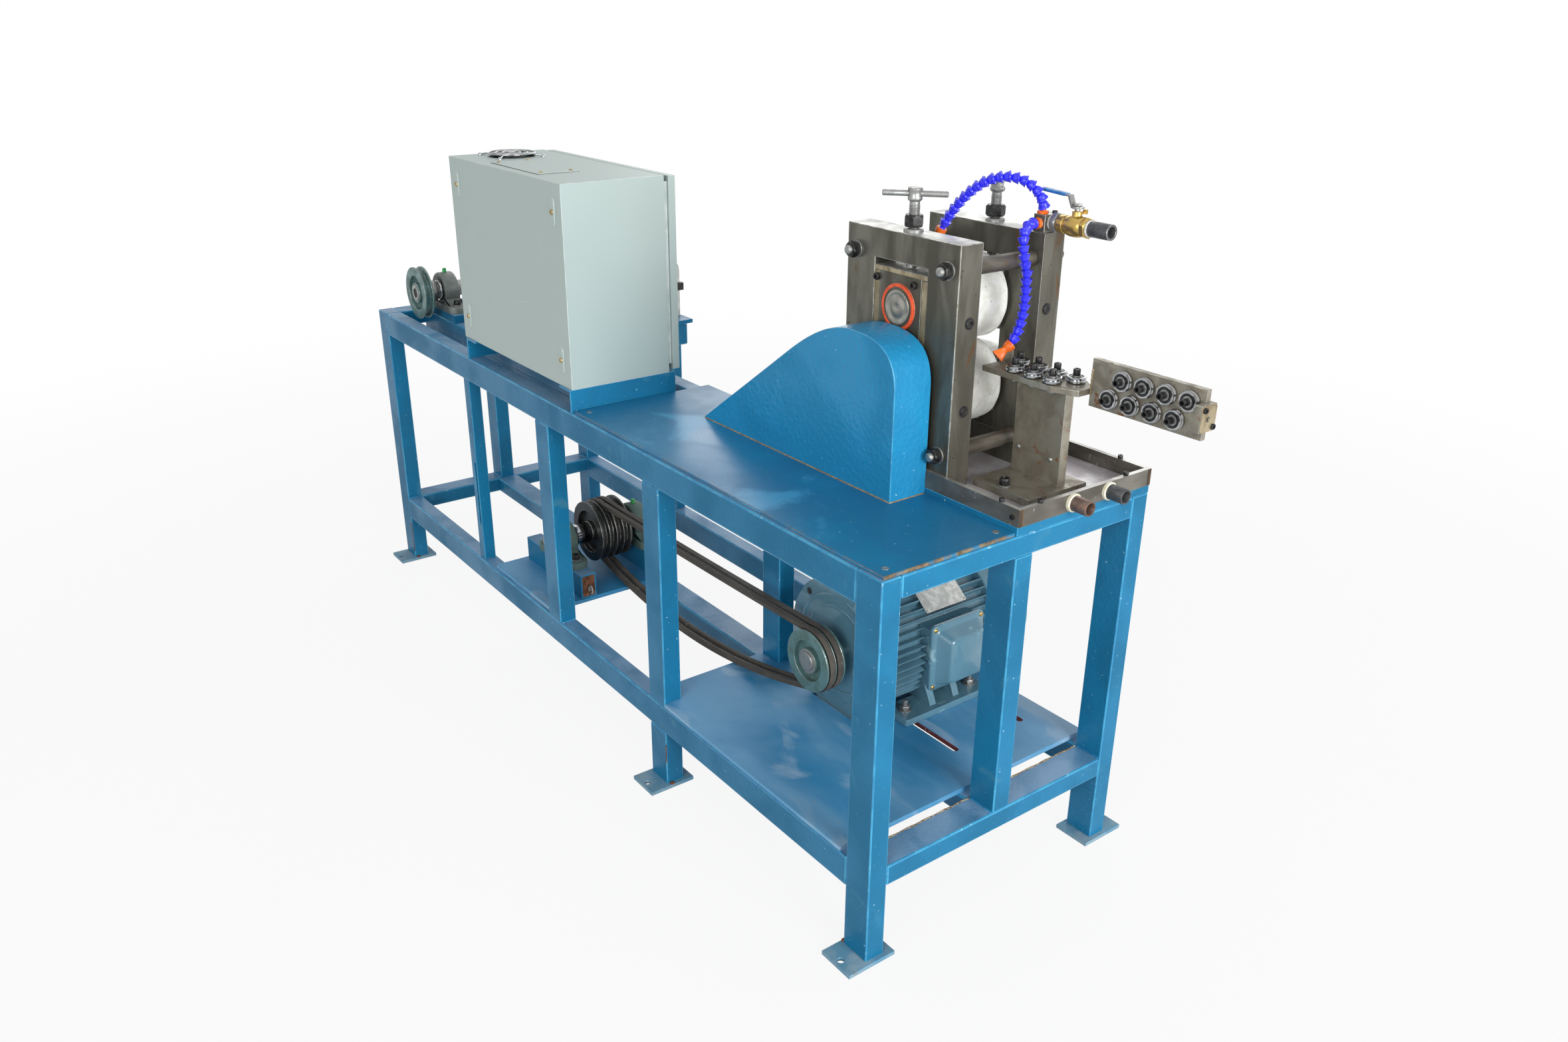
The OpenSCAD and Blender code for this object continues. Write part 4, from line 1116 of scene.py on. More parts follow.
@dataclass
class Table:
    """Table plate, coolant tray with its drains, belt guard and the far wire guide."""

    top: float = 738.0
    guard: tuple[float, float] = (1310.0, 1883.0)
    guard_face: float = 204.0
    guard_depth: float = 82.0
    drains: tuple[float, float] = (412.5, 502.5)
    drain_seat: tuple[float, float] = (2102.0, 763.5)

    def build(self) -> None:
        """Dresses the plates and adds the guard, its seam, the far guide, the tray's parts and screws."""
        dress(("table_plate",), Look.TABLE_BLUE, Look.RUST_EDGE, 1.0)
        self.guard_shell()
        dress(("tray",), Look.TRAY, Look.STEEL_EDGE, 0.8)
        self.guide_parts()
        left, right = self.guard
        seam = joined([bead((left + 4, self.guard_face, self.top), (right, self.guard_face, self.top), 1.5),
                       bead((right, self.guard_face, self.top), (right, 284, self.top), 1.5)])
        piece("guard_seam", seam, Look.TAN)
        screws = [turned([(6.4, 0), (6.2, 0.5), (2.2, 0.5), (2.0, 0.2)], 24).at((x, y, self.top - 0.1))
                  for x, y in ((2074, 28), (2074, 264), (1148, 28))]
        piece("table_screws", joined(screws), Look.ZINC)
        bolts = [cap_screw(7, 7).at((x, 570, 742)) for x in (462, 590)]
        piece("guide_bolts", joined(bolts), Look.BLACK)
        edge = block((2095.8, 8, 732.6), (2096.7, 284, 737.2))
        piece("table_edge", edge, Look.RUST_EDGE)
        self.tray_parts()

    def guard_shell(self) -> None:
        """Builds the belt guard: an outline with a straight right edge, two cubic curves over its round
        head and a straight slope to the left, carried across the guard's depth."""
        (left, right), z = self.guard, self.top
        curves = (((0, 190), (0, 262), (-45, 278), (-113, 278)),
                  ((-113, 278), (-190, 278), (-260, 226), (-336, 170)))
        head, back = (curve_points([(right + a, 0, z + b) for a, b in curve], 5) for curve in curves)
        line = np.vstack([[(right, 0, z)], head, back[1:], [(left, 0, z)]])
        shell = stacked([line + (0, self.guard_face + depth, 0) for depth in (0, self.guard_depth)])
        made = piece("guard_shell", shell, Look.GUARD_BLUE, stands_for=("belt_guard",))
        made.data.materials.append(Look.BLUE_EDGE_HIGHLIGHT_AND_WEAR.material())
        rounding(made, 1.8, 1)

    def guide_parts(self) -> None:
        """Builds the guide's stand on the far rail: a painted base, an upright and a clamp around it.

        The upright is an outline in X and Z with cut top corners, carried along Y.
        """
        (x0, y0, z0), (x1, y1, z1) = (np.array(corner) * 1000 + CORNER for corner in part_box("guide_stand"))
        base = block((x0, y0, z0), (x1, y1, z0 + 10))
        piece("guide_base", base, Look.BLUE, bevel=1, stands_for=("guide_stand",))
        left, right = x1 - 94, x1 - 49
        cut = [(0, -16), (4, -5), (14, 0)]
        line = np.array([(left, z0 + 9.8), (right, z0 + 9.8)] + [(right - a, z1 + b) for a, b in cut]
                        + [(left + a, z1 + b) for a, b in cut[::-1]])
        upright = stacked([standing(line, y) for y in (y0 + 20, y1 - 8)])
        piece("guide_upright", upright, Look.ALUMINIUM, bevel=0.8)
        clamp = block((left - 8, y0 + 12, z0 + 80), (right + 8, y1, z0 + 100))
        piece("guide_clamp", clamp, Look.BLACK, bevel=1.2)
        screws = [cap_screw(5, 6).at((x, y1 - 4, z0 + 90), FAR) for x in (left + 8, right - 8)]
        piece("guide_screws", joined(screws), Look.BLACK)

    def tray_parts(self) -> None:
        """Sets screws on the tray's rim, its bar ends and its floor sheet, pale partly as painted glare, and
        its two drains with their tape.
        """
        tops = ((2057, 290.5), (1700, 290.5), (2097.5, 338), (2097.5, 552), (2037, 611.5), (1640, 611.5),
                (1564.5, 450))
        screws = [cap_screw(4.6, 6.5).at((x, y, 778.6), UP, 13.0 * i) for i, (x, y) in enumerate(tops)]
        screws += [cap_screw(4.6, 3.5).at((2087, y, 763), way) for y, way in ((286.4, NEAR), (615.6, FAR))]
        piece("rim_screws", joined(screws), Look.BLACK)
        ends = [block((2101.6, y, 748.6), (2102.4, y + 8.4, 778.4)) for y in (286.3, 607.3)]
        piece("rim_ends", joined(ends), Look.END_RUST)
        # The floor sheet's pale colour is partly its white film and partly painted glare.
        piece("tray_sheet_and_glare", block((1570, 296, 752), (2092, 606, 752.5)), Look.TRAY_FLOOR_AND_GLARE)
        pipe = turned([(10, 0), (13.5, 0), (13.5, 36.6), (12.8, 38), (10.6, 38), (10, 37.2)], 40,
                      hollow=True)
        tape = turned([(13.3, 0.2), (16.4, 0.2), (16.2, 5.4), (14.2, 6.4), (13.3, 6.4)], 40, hollow=True)
        x, z = self.drain_seat
        near, far = (((x, y, z), RIGHT) for y in self.drains)
        piece("near_drain", pipe.at(*near), Look.BROWN_PIPE, stands_for=("drain_pipes",))
        piece("far_drain", pipe.at(*far), Look.PIPE)
        piece("drain_tape", joined(tape.at(*seat) for seat in (near, far)), Look.CREAM)


@dataclass
class Mill:
    """Two housings with chocks, wrapped rolls, tie rods and adjusting screws."""

    x: float = 1784.0
    near: float = 295.0
    rear: float = 538.0
    top: float = 1170.0
    rolls: tuple[float, float] = (1045.0, 891.0)
    rods: tuple[tuple[float, float], ...] = ((1669.0, 811.0), (1669.0, 1126.0), (1899.0, 811.0),
                                             (1899.0, 1126.0))

    def faces(self) -> tuple[tuple[float, Point], ...]:
        """Gives the place along Y and the outward direction of the near and the rear outer face."""
        return (self.near, NEAR), (self.rear, FAR)

    def build(self) -> None:
        """Dresses the mill and adds its pieces."""
        dress(("near_housing", "rear_housing"), Look.STEEL, Look.STEEL_EDGE, 1.8)
        dress(("near_chocks", "rear_chocks"), Look.STEEL, Look.STEEL_EDGE, 0.6)
        dress(("upper_roll", "lower_roll"), Look.ROLL)
        self.tie_rods()
        self.handle("near", 320.0, 42.0)
        self.handle("rear", 513.0, -37.0)
        self.wraps()
        self.necks()
        self.strips()
        self.screws()

    def tie_rods(self) -> None:
        """Turns the spacer bars, and sets a washer, a nut and a domed stud end on each outer face."""
        bar = turned([(13, 0), (14, 1), (14, 142), (13, 143)], 28)
        bars = [bar.at((x, 345, z), FAR) for x, z in self.rods]
        piece("rod_bars", joined(bars), Look.ROD, stands_for=("tie_rods",))
        seats = [((x, y, z), way) for x, z in self.rods for y, way in self.faces()]
        piece("rod_washers", joined(washer(15.5, 3).at(*seat) for seat in seats), Look.ZINC)
        nuts = [hex_nut(14.5, 14).at((x, y + 3 * way[1], z), way, 11.0 * i)
                for i, ((x, y, z), way) in enumerate(seats)]
        piece("rod_nuts", joined(nuts), Look.BLACK)
        stud = turned([(8, 12), (8, 21.5), (7.3, 22.6), (4.5, 23.6), (1.5, 24)], 24)
        piece("rod_studs", joined(stud.at(*seat) for seat in seats), Look.ZINC)

    def handle(self, name: str, y: float, turn: float) -> None:
        """Turns one adjusting screw with its waisted hub and cross bar, and its lock nut.

        Args:
            name: which housing it stands on.
            y: its axis across the machine.
            turn: angle of its bar from X, degrees.
        """
        seat = np.array([self.x, y, self.top])
        tooth = ((8.5, 0), (9.5, 0.9), (9.5, 1.5), (8.5, 2.4))
        pitch = [(r, z + dz) for z in np.arange(1, 42, 2.5) for r, dz in tooth]
        hub = [(8.6, 44), (8.6, 49), (11.6, 51.5), (12.5, 53), (12.5, 56), (11.2, 59), (11.2, 65),
               (12.5, 68), (12.5, 70.5), (11, 72), (4, 72.6)]
        stem = turned([(9.4, -60)] + pitch + hub, 36)
        angle = math.radians(turn)
        way = np.array([math.cos(angle), math.sin(angle), 0])
        bar = turned([(3.2, 0), (4.6, 0.8), (5, 2), (5, 108), (4.6, 109.2), (3.2, 110)], 24)
        screw = joined([stem.at(seat), bar.at(seat + (0, 0, 62) - 55 * way, way)])
        body = f"{name}_handle"
        piece(f"{name}_adjuster", screw, Look.ZINC, body, stands_for=(f"{name}_screw",))
        nut = hex_nut(17.3, 20).at(seat + (0, 0, 8), spin=turn / 3)
        piece(f"{name}_lock_nut", nut, Look.BLACK, body)
        collar = turned([(10, 0), (17, 0), (17, 3.6), (15.5, 5), (10, 5)], 32, hollow=True)
        piece(f"{name}_collar", collar.at(seat), Look.ZINC)

    def wraps(self) -> None:
        """Wraps each roll in foam.

        The radius over an angle t and a place y is 74.4, plus a spiral of 1.9 t / turn that ends in a lap,
        plus low waves in both directions; the ends fold in to the roll's faces.
        """
        angle = (np.arange(120) * ROUND / 120)[None, :]
        fold = [(74.2, 64.2), (72.0, 65.4), (60, 65.6), (30, 65.2)]
        line = np.array([(r, -y) for r, y in fold[::-1]] + [(74.4, y) for y in np.linspace(-61, 61, 15)]
                        + fold)
        plain, y = line[:, :1], line[:, 1:]
        waves = 0.3 * np.sin(5 * angle + 0.09 * y) + 0.22 * np.sin(13 * angle - 0.15 * y + 1)
        across = (self.near + self.rear) / 2 + y + 0 * angle
        for name, z, lap in (("upper", self.rolls[0], 2.2), ("lower", self.rolls[1], 5.1)):
            spiral = 1.9 * np.mod(angle - lap, ROUND) / ROUND
            radius = plain + (spiral + waves) * (plain > 70)
            grid = np.stack([self.x + radius * np.cos(angle), across, z + radius * np.sin(angle)], -1)
            foam = piece(f"{name}_wrap", woven(grid), Look.FOAM, f"{name}_roll_shaft",
                         sharp=60)

    def necks(self) -> None:
        """Sets a seal, a bearing ring and a turned shaft end on each chock's outer face.

        The lower roll gets no turned end at the near face, which the guard covers.
        """
        seal = turned([(34.6, 0.4), (40.2, 0.4), (40.2, 4.2), (39.4, 4.8), (36, 4.8), (34.6, 4.2)], 48,
                      hollow=True)
        ring = turned([(29, 0.2), (34.4, 0.2), (34.4, 3.6), (33.6, 4.4), (30.6, 4.4), (29, 3.4)], 48,
                      hollow=True)
        end = turned([(24.8, 2.6), (29.8, 3.4), (29.8, 4.6), (29.2, 5.2), (24, 5.2), (23.6, 4.9), (16, 4.9),
                      (15.6, 5.2), (9, 5.2), (8.6, 4.8), (6.4, 4.8), (3.2, 2.6), (1, 2.4)], 48)
        seats = [((self.x, y, z), way) for y, way in self.faces() for z in self.rolls]
        piece("neck_seals", joined(seal.at(*seat) for seat in seats), Look.SEAL)
        piece("neck_rings", joined(ring.at(*seat) for seat in seats), Look.STEEL)
        for name, z, faces in zip(("upper", "lower"), self.rolls, (self.faces(), self.faces()[1:])):
            ends = [end.at((self.x, y, z), way) for y, way in faces]
            piece(f"{name}_neck_ends", joined(ends), Look.DISC, f"{name}_roll_shaft")

    def strips(self) -> None:
        """Lays bronze wear strips on the window's sides and the cap over the upper chock."""
        strips = []
        for y, (_, out, _) in self.faces():
            low, high = sorted((y - 1.0 * out, y - 2.2 * out))
            strips += [block((x - 5.9, low, 808), (x + 5.9, high, 1098))
                       for x in (self.x - 59.5, self.x + 59.5)]
            low, high = sorted((y + 0.8 * out, y - 0.4 * out))
            strips.append(block((self.x - 65, low, 1100.6), (self.x + 65, high, 1107.4)))
        piece("wear_strips", joined(strips), Look.BRONZE, bevel=0.3)

    def screws(self) -> None:
        """Sets the socket screws in the housings' right faces and around the chocks, with painted shade in
        the sunk ones' counterbores.
        """
        sunk = [((1924, y, z), RIGHT) for y in (324.5, 508.5) for z in (1040, 889.5)]
        proud = [((x, y, 1088), way) for x in (1727, 1820) for y, way in self.faces()]
        # Dark rings: painted shade inside the counterbores around the sunk screws.
        piece("housing_bore_shade", joined(washer(10.5, 0.6, 0.4).at(*seat) for seat in sunk), Look.HOLE_SHADE_AND_BLACK)
        heads = [cap_screw(8, 2.6).at(*seat) for seat in sunk]
        heads += [cap_screw(6.5, 6).at(*seat) for seat in proud]
        piece("housing_screws", joined(heads), Look.BLACK)


@dataclass
class Straighteners:
    """Two roller straighteners with their bracket and wire guides."""

    level: float = 957.0
    wire: tuple[float, float] = (416.5, 968.0)
    pitch: float = 41.0
    offset: float = 17.2
    edge_face: float = 425.5
    base_screws: tuple[Point, ...] = ((1987, 371, 766), (1987, 480, 766))
    inlet_face: tuple[float, float] = (2326.7, 2328.2)

    def build(self) -> None:
        """Dresses the plates and adds the rollers, screws, studs, weld and inlet face."""
        dress(("bracket", "flat_straightener", "edge_straightener", "wire_guide"), Look.PLATE,
              Look.STEEL_EDGE, 0.8)
        y, z = self.wire
        near = [((1963 + i * self.pitch, y - self.offset, self.level), UP) for i in range(3)]
        far = [((1942.5 + i * self.pitch, y + self.offset, self.level), UP) for i in range(4)]
        edge = [((2156 + 11 * s + i * self.pitch, self.edge_face, z + s * self.offset), NEAR)
                for i in range(4) for s in (-1, 1)]
        self.rollers("flat", near + far)
        self.rollers("edge", edge)
        self.fasteners(near, edge)
        self.plate_parts()

    def rollers(self, name: str, seats: Sequence[Seat]) -> None:
        """Turns ball bearing rollers: a grooved ring, a seal, an inner ring, and a socket screw on it.

        Args:
            name: which straightener.
            seats: place and direction of each axis.
        """
        ring = [(12.9, 1.4), (15.3, 1.3), (16, 2), (16, 4.3), (14.4, 6), (16, 7.7), (16, 10), (15.3, 10.7),
                (12.9, 10.6)]
        seal = [(8.4, 1.9), (13.0, 1.9), (13.0, 10.2), (8.4, 10.2)]
        core = [(3, 0), (6.4, 0), (6.4, 1.2), (8.5, 1.3), (8.5, 10.7), (7.2, 10.8), (7.2, 12.2), (3, 12.2)]
        kinds = (("rings", turned(ring, 40, True), Look.CHROME, "bright_steel", (f"{name}_rollers",)),
                 ("seals", turned(seal, 32, True), Look.BLACK, "rubber", ()),
                 ("cores", turned(core, 32, True), Look.ZINC, "bright_steel", ()),
                 ("screws", cap_screw(6.0, 10.8), Look.BLACK, "black_steel", ()))
        for kind, shape, finish, slot, nodes in kinds:
            lift = core[-1][1] if kind == "screws" else 0.0
            shapes = [shape.at(np.add(place, np.multiply(way, lift)), way, 17.0 * i)
                      for i, (place, way) in enumerate(seats)]
            piece(f"{name}_roller_{kind}", joined(shapes), finish, stands_for=nodes)

    def fasteners(self, near: Sequence[Seat], edge: Sequence[Seat]) -> None:
        """Adds nuts under the level plate and behind the edge plate, base screws and the inlet's screws.

        Args:
            near: seats of the level plate's near rollers.
            edge: seats of the edge plate's rollers.
        """
        y, _ = self.wire
        nut = hex_nut(7, 6)
        nuts = [nut.at((p[0], p[1], self.level - 10), DOWN, 20.0 * i) for i, (p, _) in enumerate(near)]
        nuts += [nut.at(np.add(p, (0, 10, 0)), FAR, 9.0 * (i // 2)) for i, (p, _) in enumerate(edge)]
        nuts += [washer(11.5, 2).at(seat) for seat in self.base_screws]
        piece("straightener_nuts", joined(nuts), Look.ZINC)
        heads = [cap_screw(9, 12).at(np.add(seat, (0, 0, 2))) for seat in self.base_screws]
        heads += [cap_screw(4.6, 4.5).at((2327, a, b), RIGHT) for a, b in ((406, 983), (429, 955))]
        heads += [cap_screw(5.2, 8.6).at((1913, y + 14, self.level + 32))]
        piece("straightener_screws", joined(heads), Look.BLACK)

    def plate_parts(self) -> None:
        """Adds the bracket's studs, the edge plate's weld and the inlet's face.

        The face is skinned from a round hole to a rectangle, whose reach at an angle t is the lesser of
        17.6 / |cos t| and 20.6 / |sin t|.
        """
        studs = [dome(5, 3.2, 0.4).at((x, 441.5, h), NEAR) for x, h in ((1948, 811), (2021, 808))]
        piece("bracket_studs", joined(studs), Look.ZINC)
        weld = [bead((2101, 427, self.level), (2101, 435, self.level), 3),
                bead((2104, self.edge_face, 946), (2104, self.edge_face, 990), 2)]
        piece("edge_weld", joined(weld), Look.BRONZE)
        angle = np.arange(32) * ROUND / 32
        reach = 1 / np.maximum(np.abs(np.cos(angle)) / 17.6, np.abs(np.sin(angle)) / 20.6)
        hole = arc(self.wire, 4.4, angle)
        square = arc((417.5, 969.0), reach[:, None], angle)
        back, front = self.inlet_face
        grid = np.stack([facing(hole, back), facing(square, back), facing(square, front),
                         facing(hole, front)])
        piece("inlet_face", woven(grid, loop_u=True), Look.BRONZE, bevel=0.4)


@dataclass
class Coolant:
    """Coolant block, valve with its lever, inlet pipe, and two hoses of ball-and-socket links."""

    block_corner: tuple[float, float, float] = (1896.0, 488.0, 1170.0)
    valve: tuple[float, float, float] = (1972.0, 507.0, 1187.0)
    step: float = 13.4

    def build(self) -> None:
        """Dresses the block and pipe, and builds the hoses, the valve and the lever."""
        dress(("manifold",), Look.STEEL, Look.STEEL_EDGE, 1.0)
        dress(("inlet_pipe",), Look.PIPE, Look.STEEL_EDGE, 0.5)
        dress(("valve_lever",), Look.ZINC, Look.STEEL_EDGE, 0.3)
        piece("block_screw", cap_screw(4.5, 4).at((1914, 519, 1200)), Look.BLACK)
        self.near_hose()
        self.over_hose()
        self.valve_parts()
        self.lever()

    def links(self, name: str, node: str, line: Array) -> None:
        """Strings hose links along points: each link is a socket skirt, a neck and a ball, turned about the
        chord from its point to the next.

        Args:
            name: the piece's name.
            node: the node that it replaces.
            line: the points.
        """
        skirt = [(7.0, -3.2), (9.8, -4.0), (10.2, -3.7), (10.1, -2.9), (9.3, -1.2), (8.8, -0.9), (8.5, 0.2),
                 (8.2, 2.0), (7.6, 4.0), (6.6, 5.8), (5.2, 7.2), (4.4, 7.9)]
        shapes = []
        for start, end in zip(line[:-1], line[1:]):
            ball = arc((0, np.linalg.norm(end - start)), 6.95, np.linspace(-0.95, 1.35, 9))
            shapes.append(turned(np.vstack([skirt, ball]), 28).at(start, end - start))
        piece(name, joined(shapes), Look.LINK, stands_for=(node,))

    def near_hose(self) -> None:
        """Builds the hose from the block's near face to the fan nozzle at the wire's outlet.

        The fan is skinned over rings that go from round at its socket to a wide flat slot at its mouth.
        """
        x, y, z = self.block_corner
        seat = np.array([x + 12, y, z + 15])
        top = seat - (0, 16, 0)
        mid = np.array([1929, y - 42, 1110.0])
        tip = np.array([1928, 419.5, 990.0])
        high = curve_points([top, top + (5, -34, -4), mid + (0, -14, 40), mid], self.step)
        low = curve_points([mid, mid + (0, 2, -40), tip + (3, 31, 30), tip], self.step)
        self.links("near_hose_links", "nozzle_hose", np.vstack([high, low[1:]]))
        rows = [(8.9, 8.9, -3.4), (9.5, 9.5, -2.7), (9.5, 9.5, 3), (8.3, 8.6, 6), (5.4, 6.4, 9.5),
                (4.0, 6.2, 12), (3.0, 7.6, 16), (2.6, 10, 22), (2.5, 12, 27.5), (2.3, 11.8, 28),
                (1.0, 10.4, 28), (1.0, 10.0, 25)]
        fan = stacked([circle(1, h, 32) * np.array([a, b, 1]) for a, b, h in rows])
        collar = turned([(6.4, -3.3), (9.9, -3.3), (10.2, -2.4), (10.2, -0.6), (9.4, 0), (6.4, 0)], 32,
                        hollow=True)
        way = (-0.2, -0.75, -0.6)
        nut = joined([hex_nut(10, 5.5), turned([(6, 5), (5, 8), (4.4, 10), (6, 11.5)], 24)]).at(seat, NEAR)
        piece("fan_nozzle", joined([fan.at(tip, way, 120), collar.at(tip, way), nut]), Look.ORANGE)
        tape = turned([(6.2, -0.4), (8.6, -0.4), (8.9, 0.3), (8.5, 1.1), (6.2, 1.1)], 28, hollow=True)
        piece("near_hose_tape", tape.at(seat, NEAR), Look.TAPE)

    def over_hose(self) -> None:
        """Builds the hose that arches from the block's top to a round nozzle over the upper roll.

        Its collar's knurl is a radius times 1 + 0.045 cos 24 t.
        """
        x, y, z = self.block_corner
        seat = np.array([x + 12, y + 8, z + 30])
        start = seat + (0, 0, 14)
        tip = np.array([1772, 395.5, 1164.0])
        line = curve_points([start, start + (6, -22, 50), tip + (63, 25, 136), tip], self.step)
        self.links("over_hose_links", "arch_hose", line)
        plain = circle(1, 0, 96)[:, :2]
        knurled = plain * (1 + 0.045 * np.cos(24 * np.arange(96) * ROUND / 96))[:, None]
        rows = ((plain, 8.6, 0), (knurled, 9.2, 0.6), (knurled, 9.2, 4.6), (plain, 8.2, 5.4),
                (plain, 5.2, 5.4), (plain, 4.3, 8), (plain, 4.3, 9))
        collar = stacked([level(outline * r, h) for outline, r, h in rows])
        spout = turned([(8.9, -3.4), (9.5, -2.7), (9.5, 3), (8.4, 6), (6, 12), (5, 18), (5, 24),
                        (4.2, 24.4), (3, 24.4), (3, 21)], 28)
        piece("over_hose_ends", joined([collar.at(seat), spout.at(tip, (-63, -25, -136))]), Look.ORANGE)

    def valve_parts(self) -> None:
        """Turns the valve's brass body about X, with its nuts, tape, stem and packing nut."""
        x, y, z = self.valve
        left = x - 51
        body = turned([(11, 4), (12.5, 5), (12.5, 17), (14.6, 18), (15, 19), (15, 30), (13.9, 31),
                       (13.9, 33), (15, 34), (16.6, 38), (17.7, 44), (18.1, 51), (17.7, 58), (16.6, 63),
                       (15, 67), (13.9, 68), (13.9, 70), (15, 71), (15, 78), (13, 79)], 40)
        body = body.at((left, y, z), RIGHT)
        end = hex_nut(18, 10).at((x + 18, y, z), RIGHT, 12)
        neck = turned([(9.4, 6), (9.4, 15), (8.4, 16.5), (8.4, 24), (7.6, 24.6)], 28).at(self.valve)
        lugs = [block((x + a - 3, y + 6, z + 20), (x + a + 3, y + 12, z + 27.6)) for a in (9, -9)]
        piece("valve_brass", joined([body, end, neck] + lugs), Look.BRASS,
              stands_for=("valve_body",), bevel=0.3)
        stem = turned([(4, 24), (4, 36), (3.4, 37)], 20)
        nuts = [hex_nut(18, 12).at((left + 5, y, z), RIGHT, 20), stem.at(self.valve),
                hex_nut(7.4, 4.4).at((x, y, z + 32.3), spin=14)]
        piece("valve_nuts", joined(nuts), Look.ZINC)
        wide = turned([(12, 0), (13.6, 0.4), (14, 2), (13.4, 4), (13.8, 5), (12, 5.4)], 36, hollow=True)
        slim = turned([(12.6, 0), (14, 0.4), (14.3, 2), (13.8, 4), (12.6, 4.6)], 36, hollow=True)
        tape = [wide.at((left, y, z), RIGHT), slim.at((x + 28, y, z), RIGHT)]
        piece("valve_tape", joined(tape), Look.TAPE)

    def lever(self) -> None:
        """Slips a vinyl sleeve over the lever's arm: a rounded section carried along it, drawn in at its
        ends."""
        x, y, z = self.valve
        share = np.linspace(0, 1, 12)[:, None]
        start, end = np.array([x - 22, y, z + 47.8]), np.array([x - 81.2, y, z + 51.6])
        swell = np.array([0.8, 0.96] + 8 * [1] + [0.95, 0.7])[:, None, None]
        section = rounded(13.2, 5.4, 2.3)[None] * swell
        sleeve = carried(section, start + share * (end - start), FAR)
        piece("lever_sleeve", sleeve, Look.LEVER, "lever")


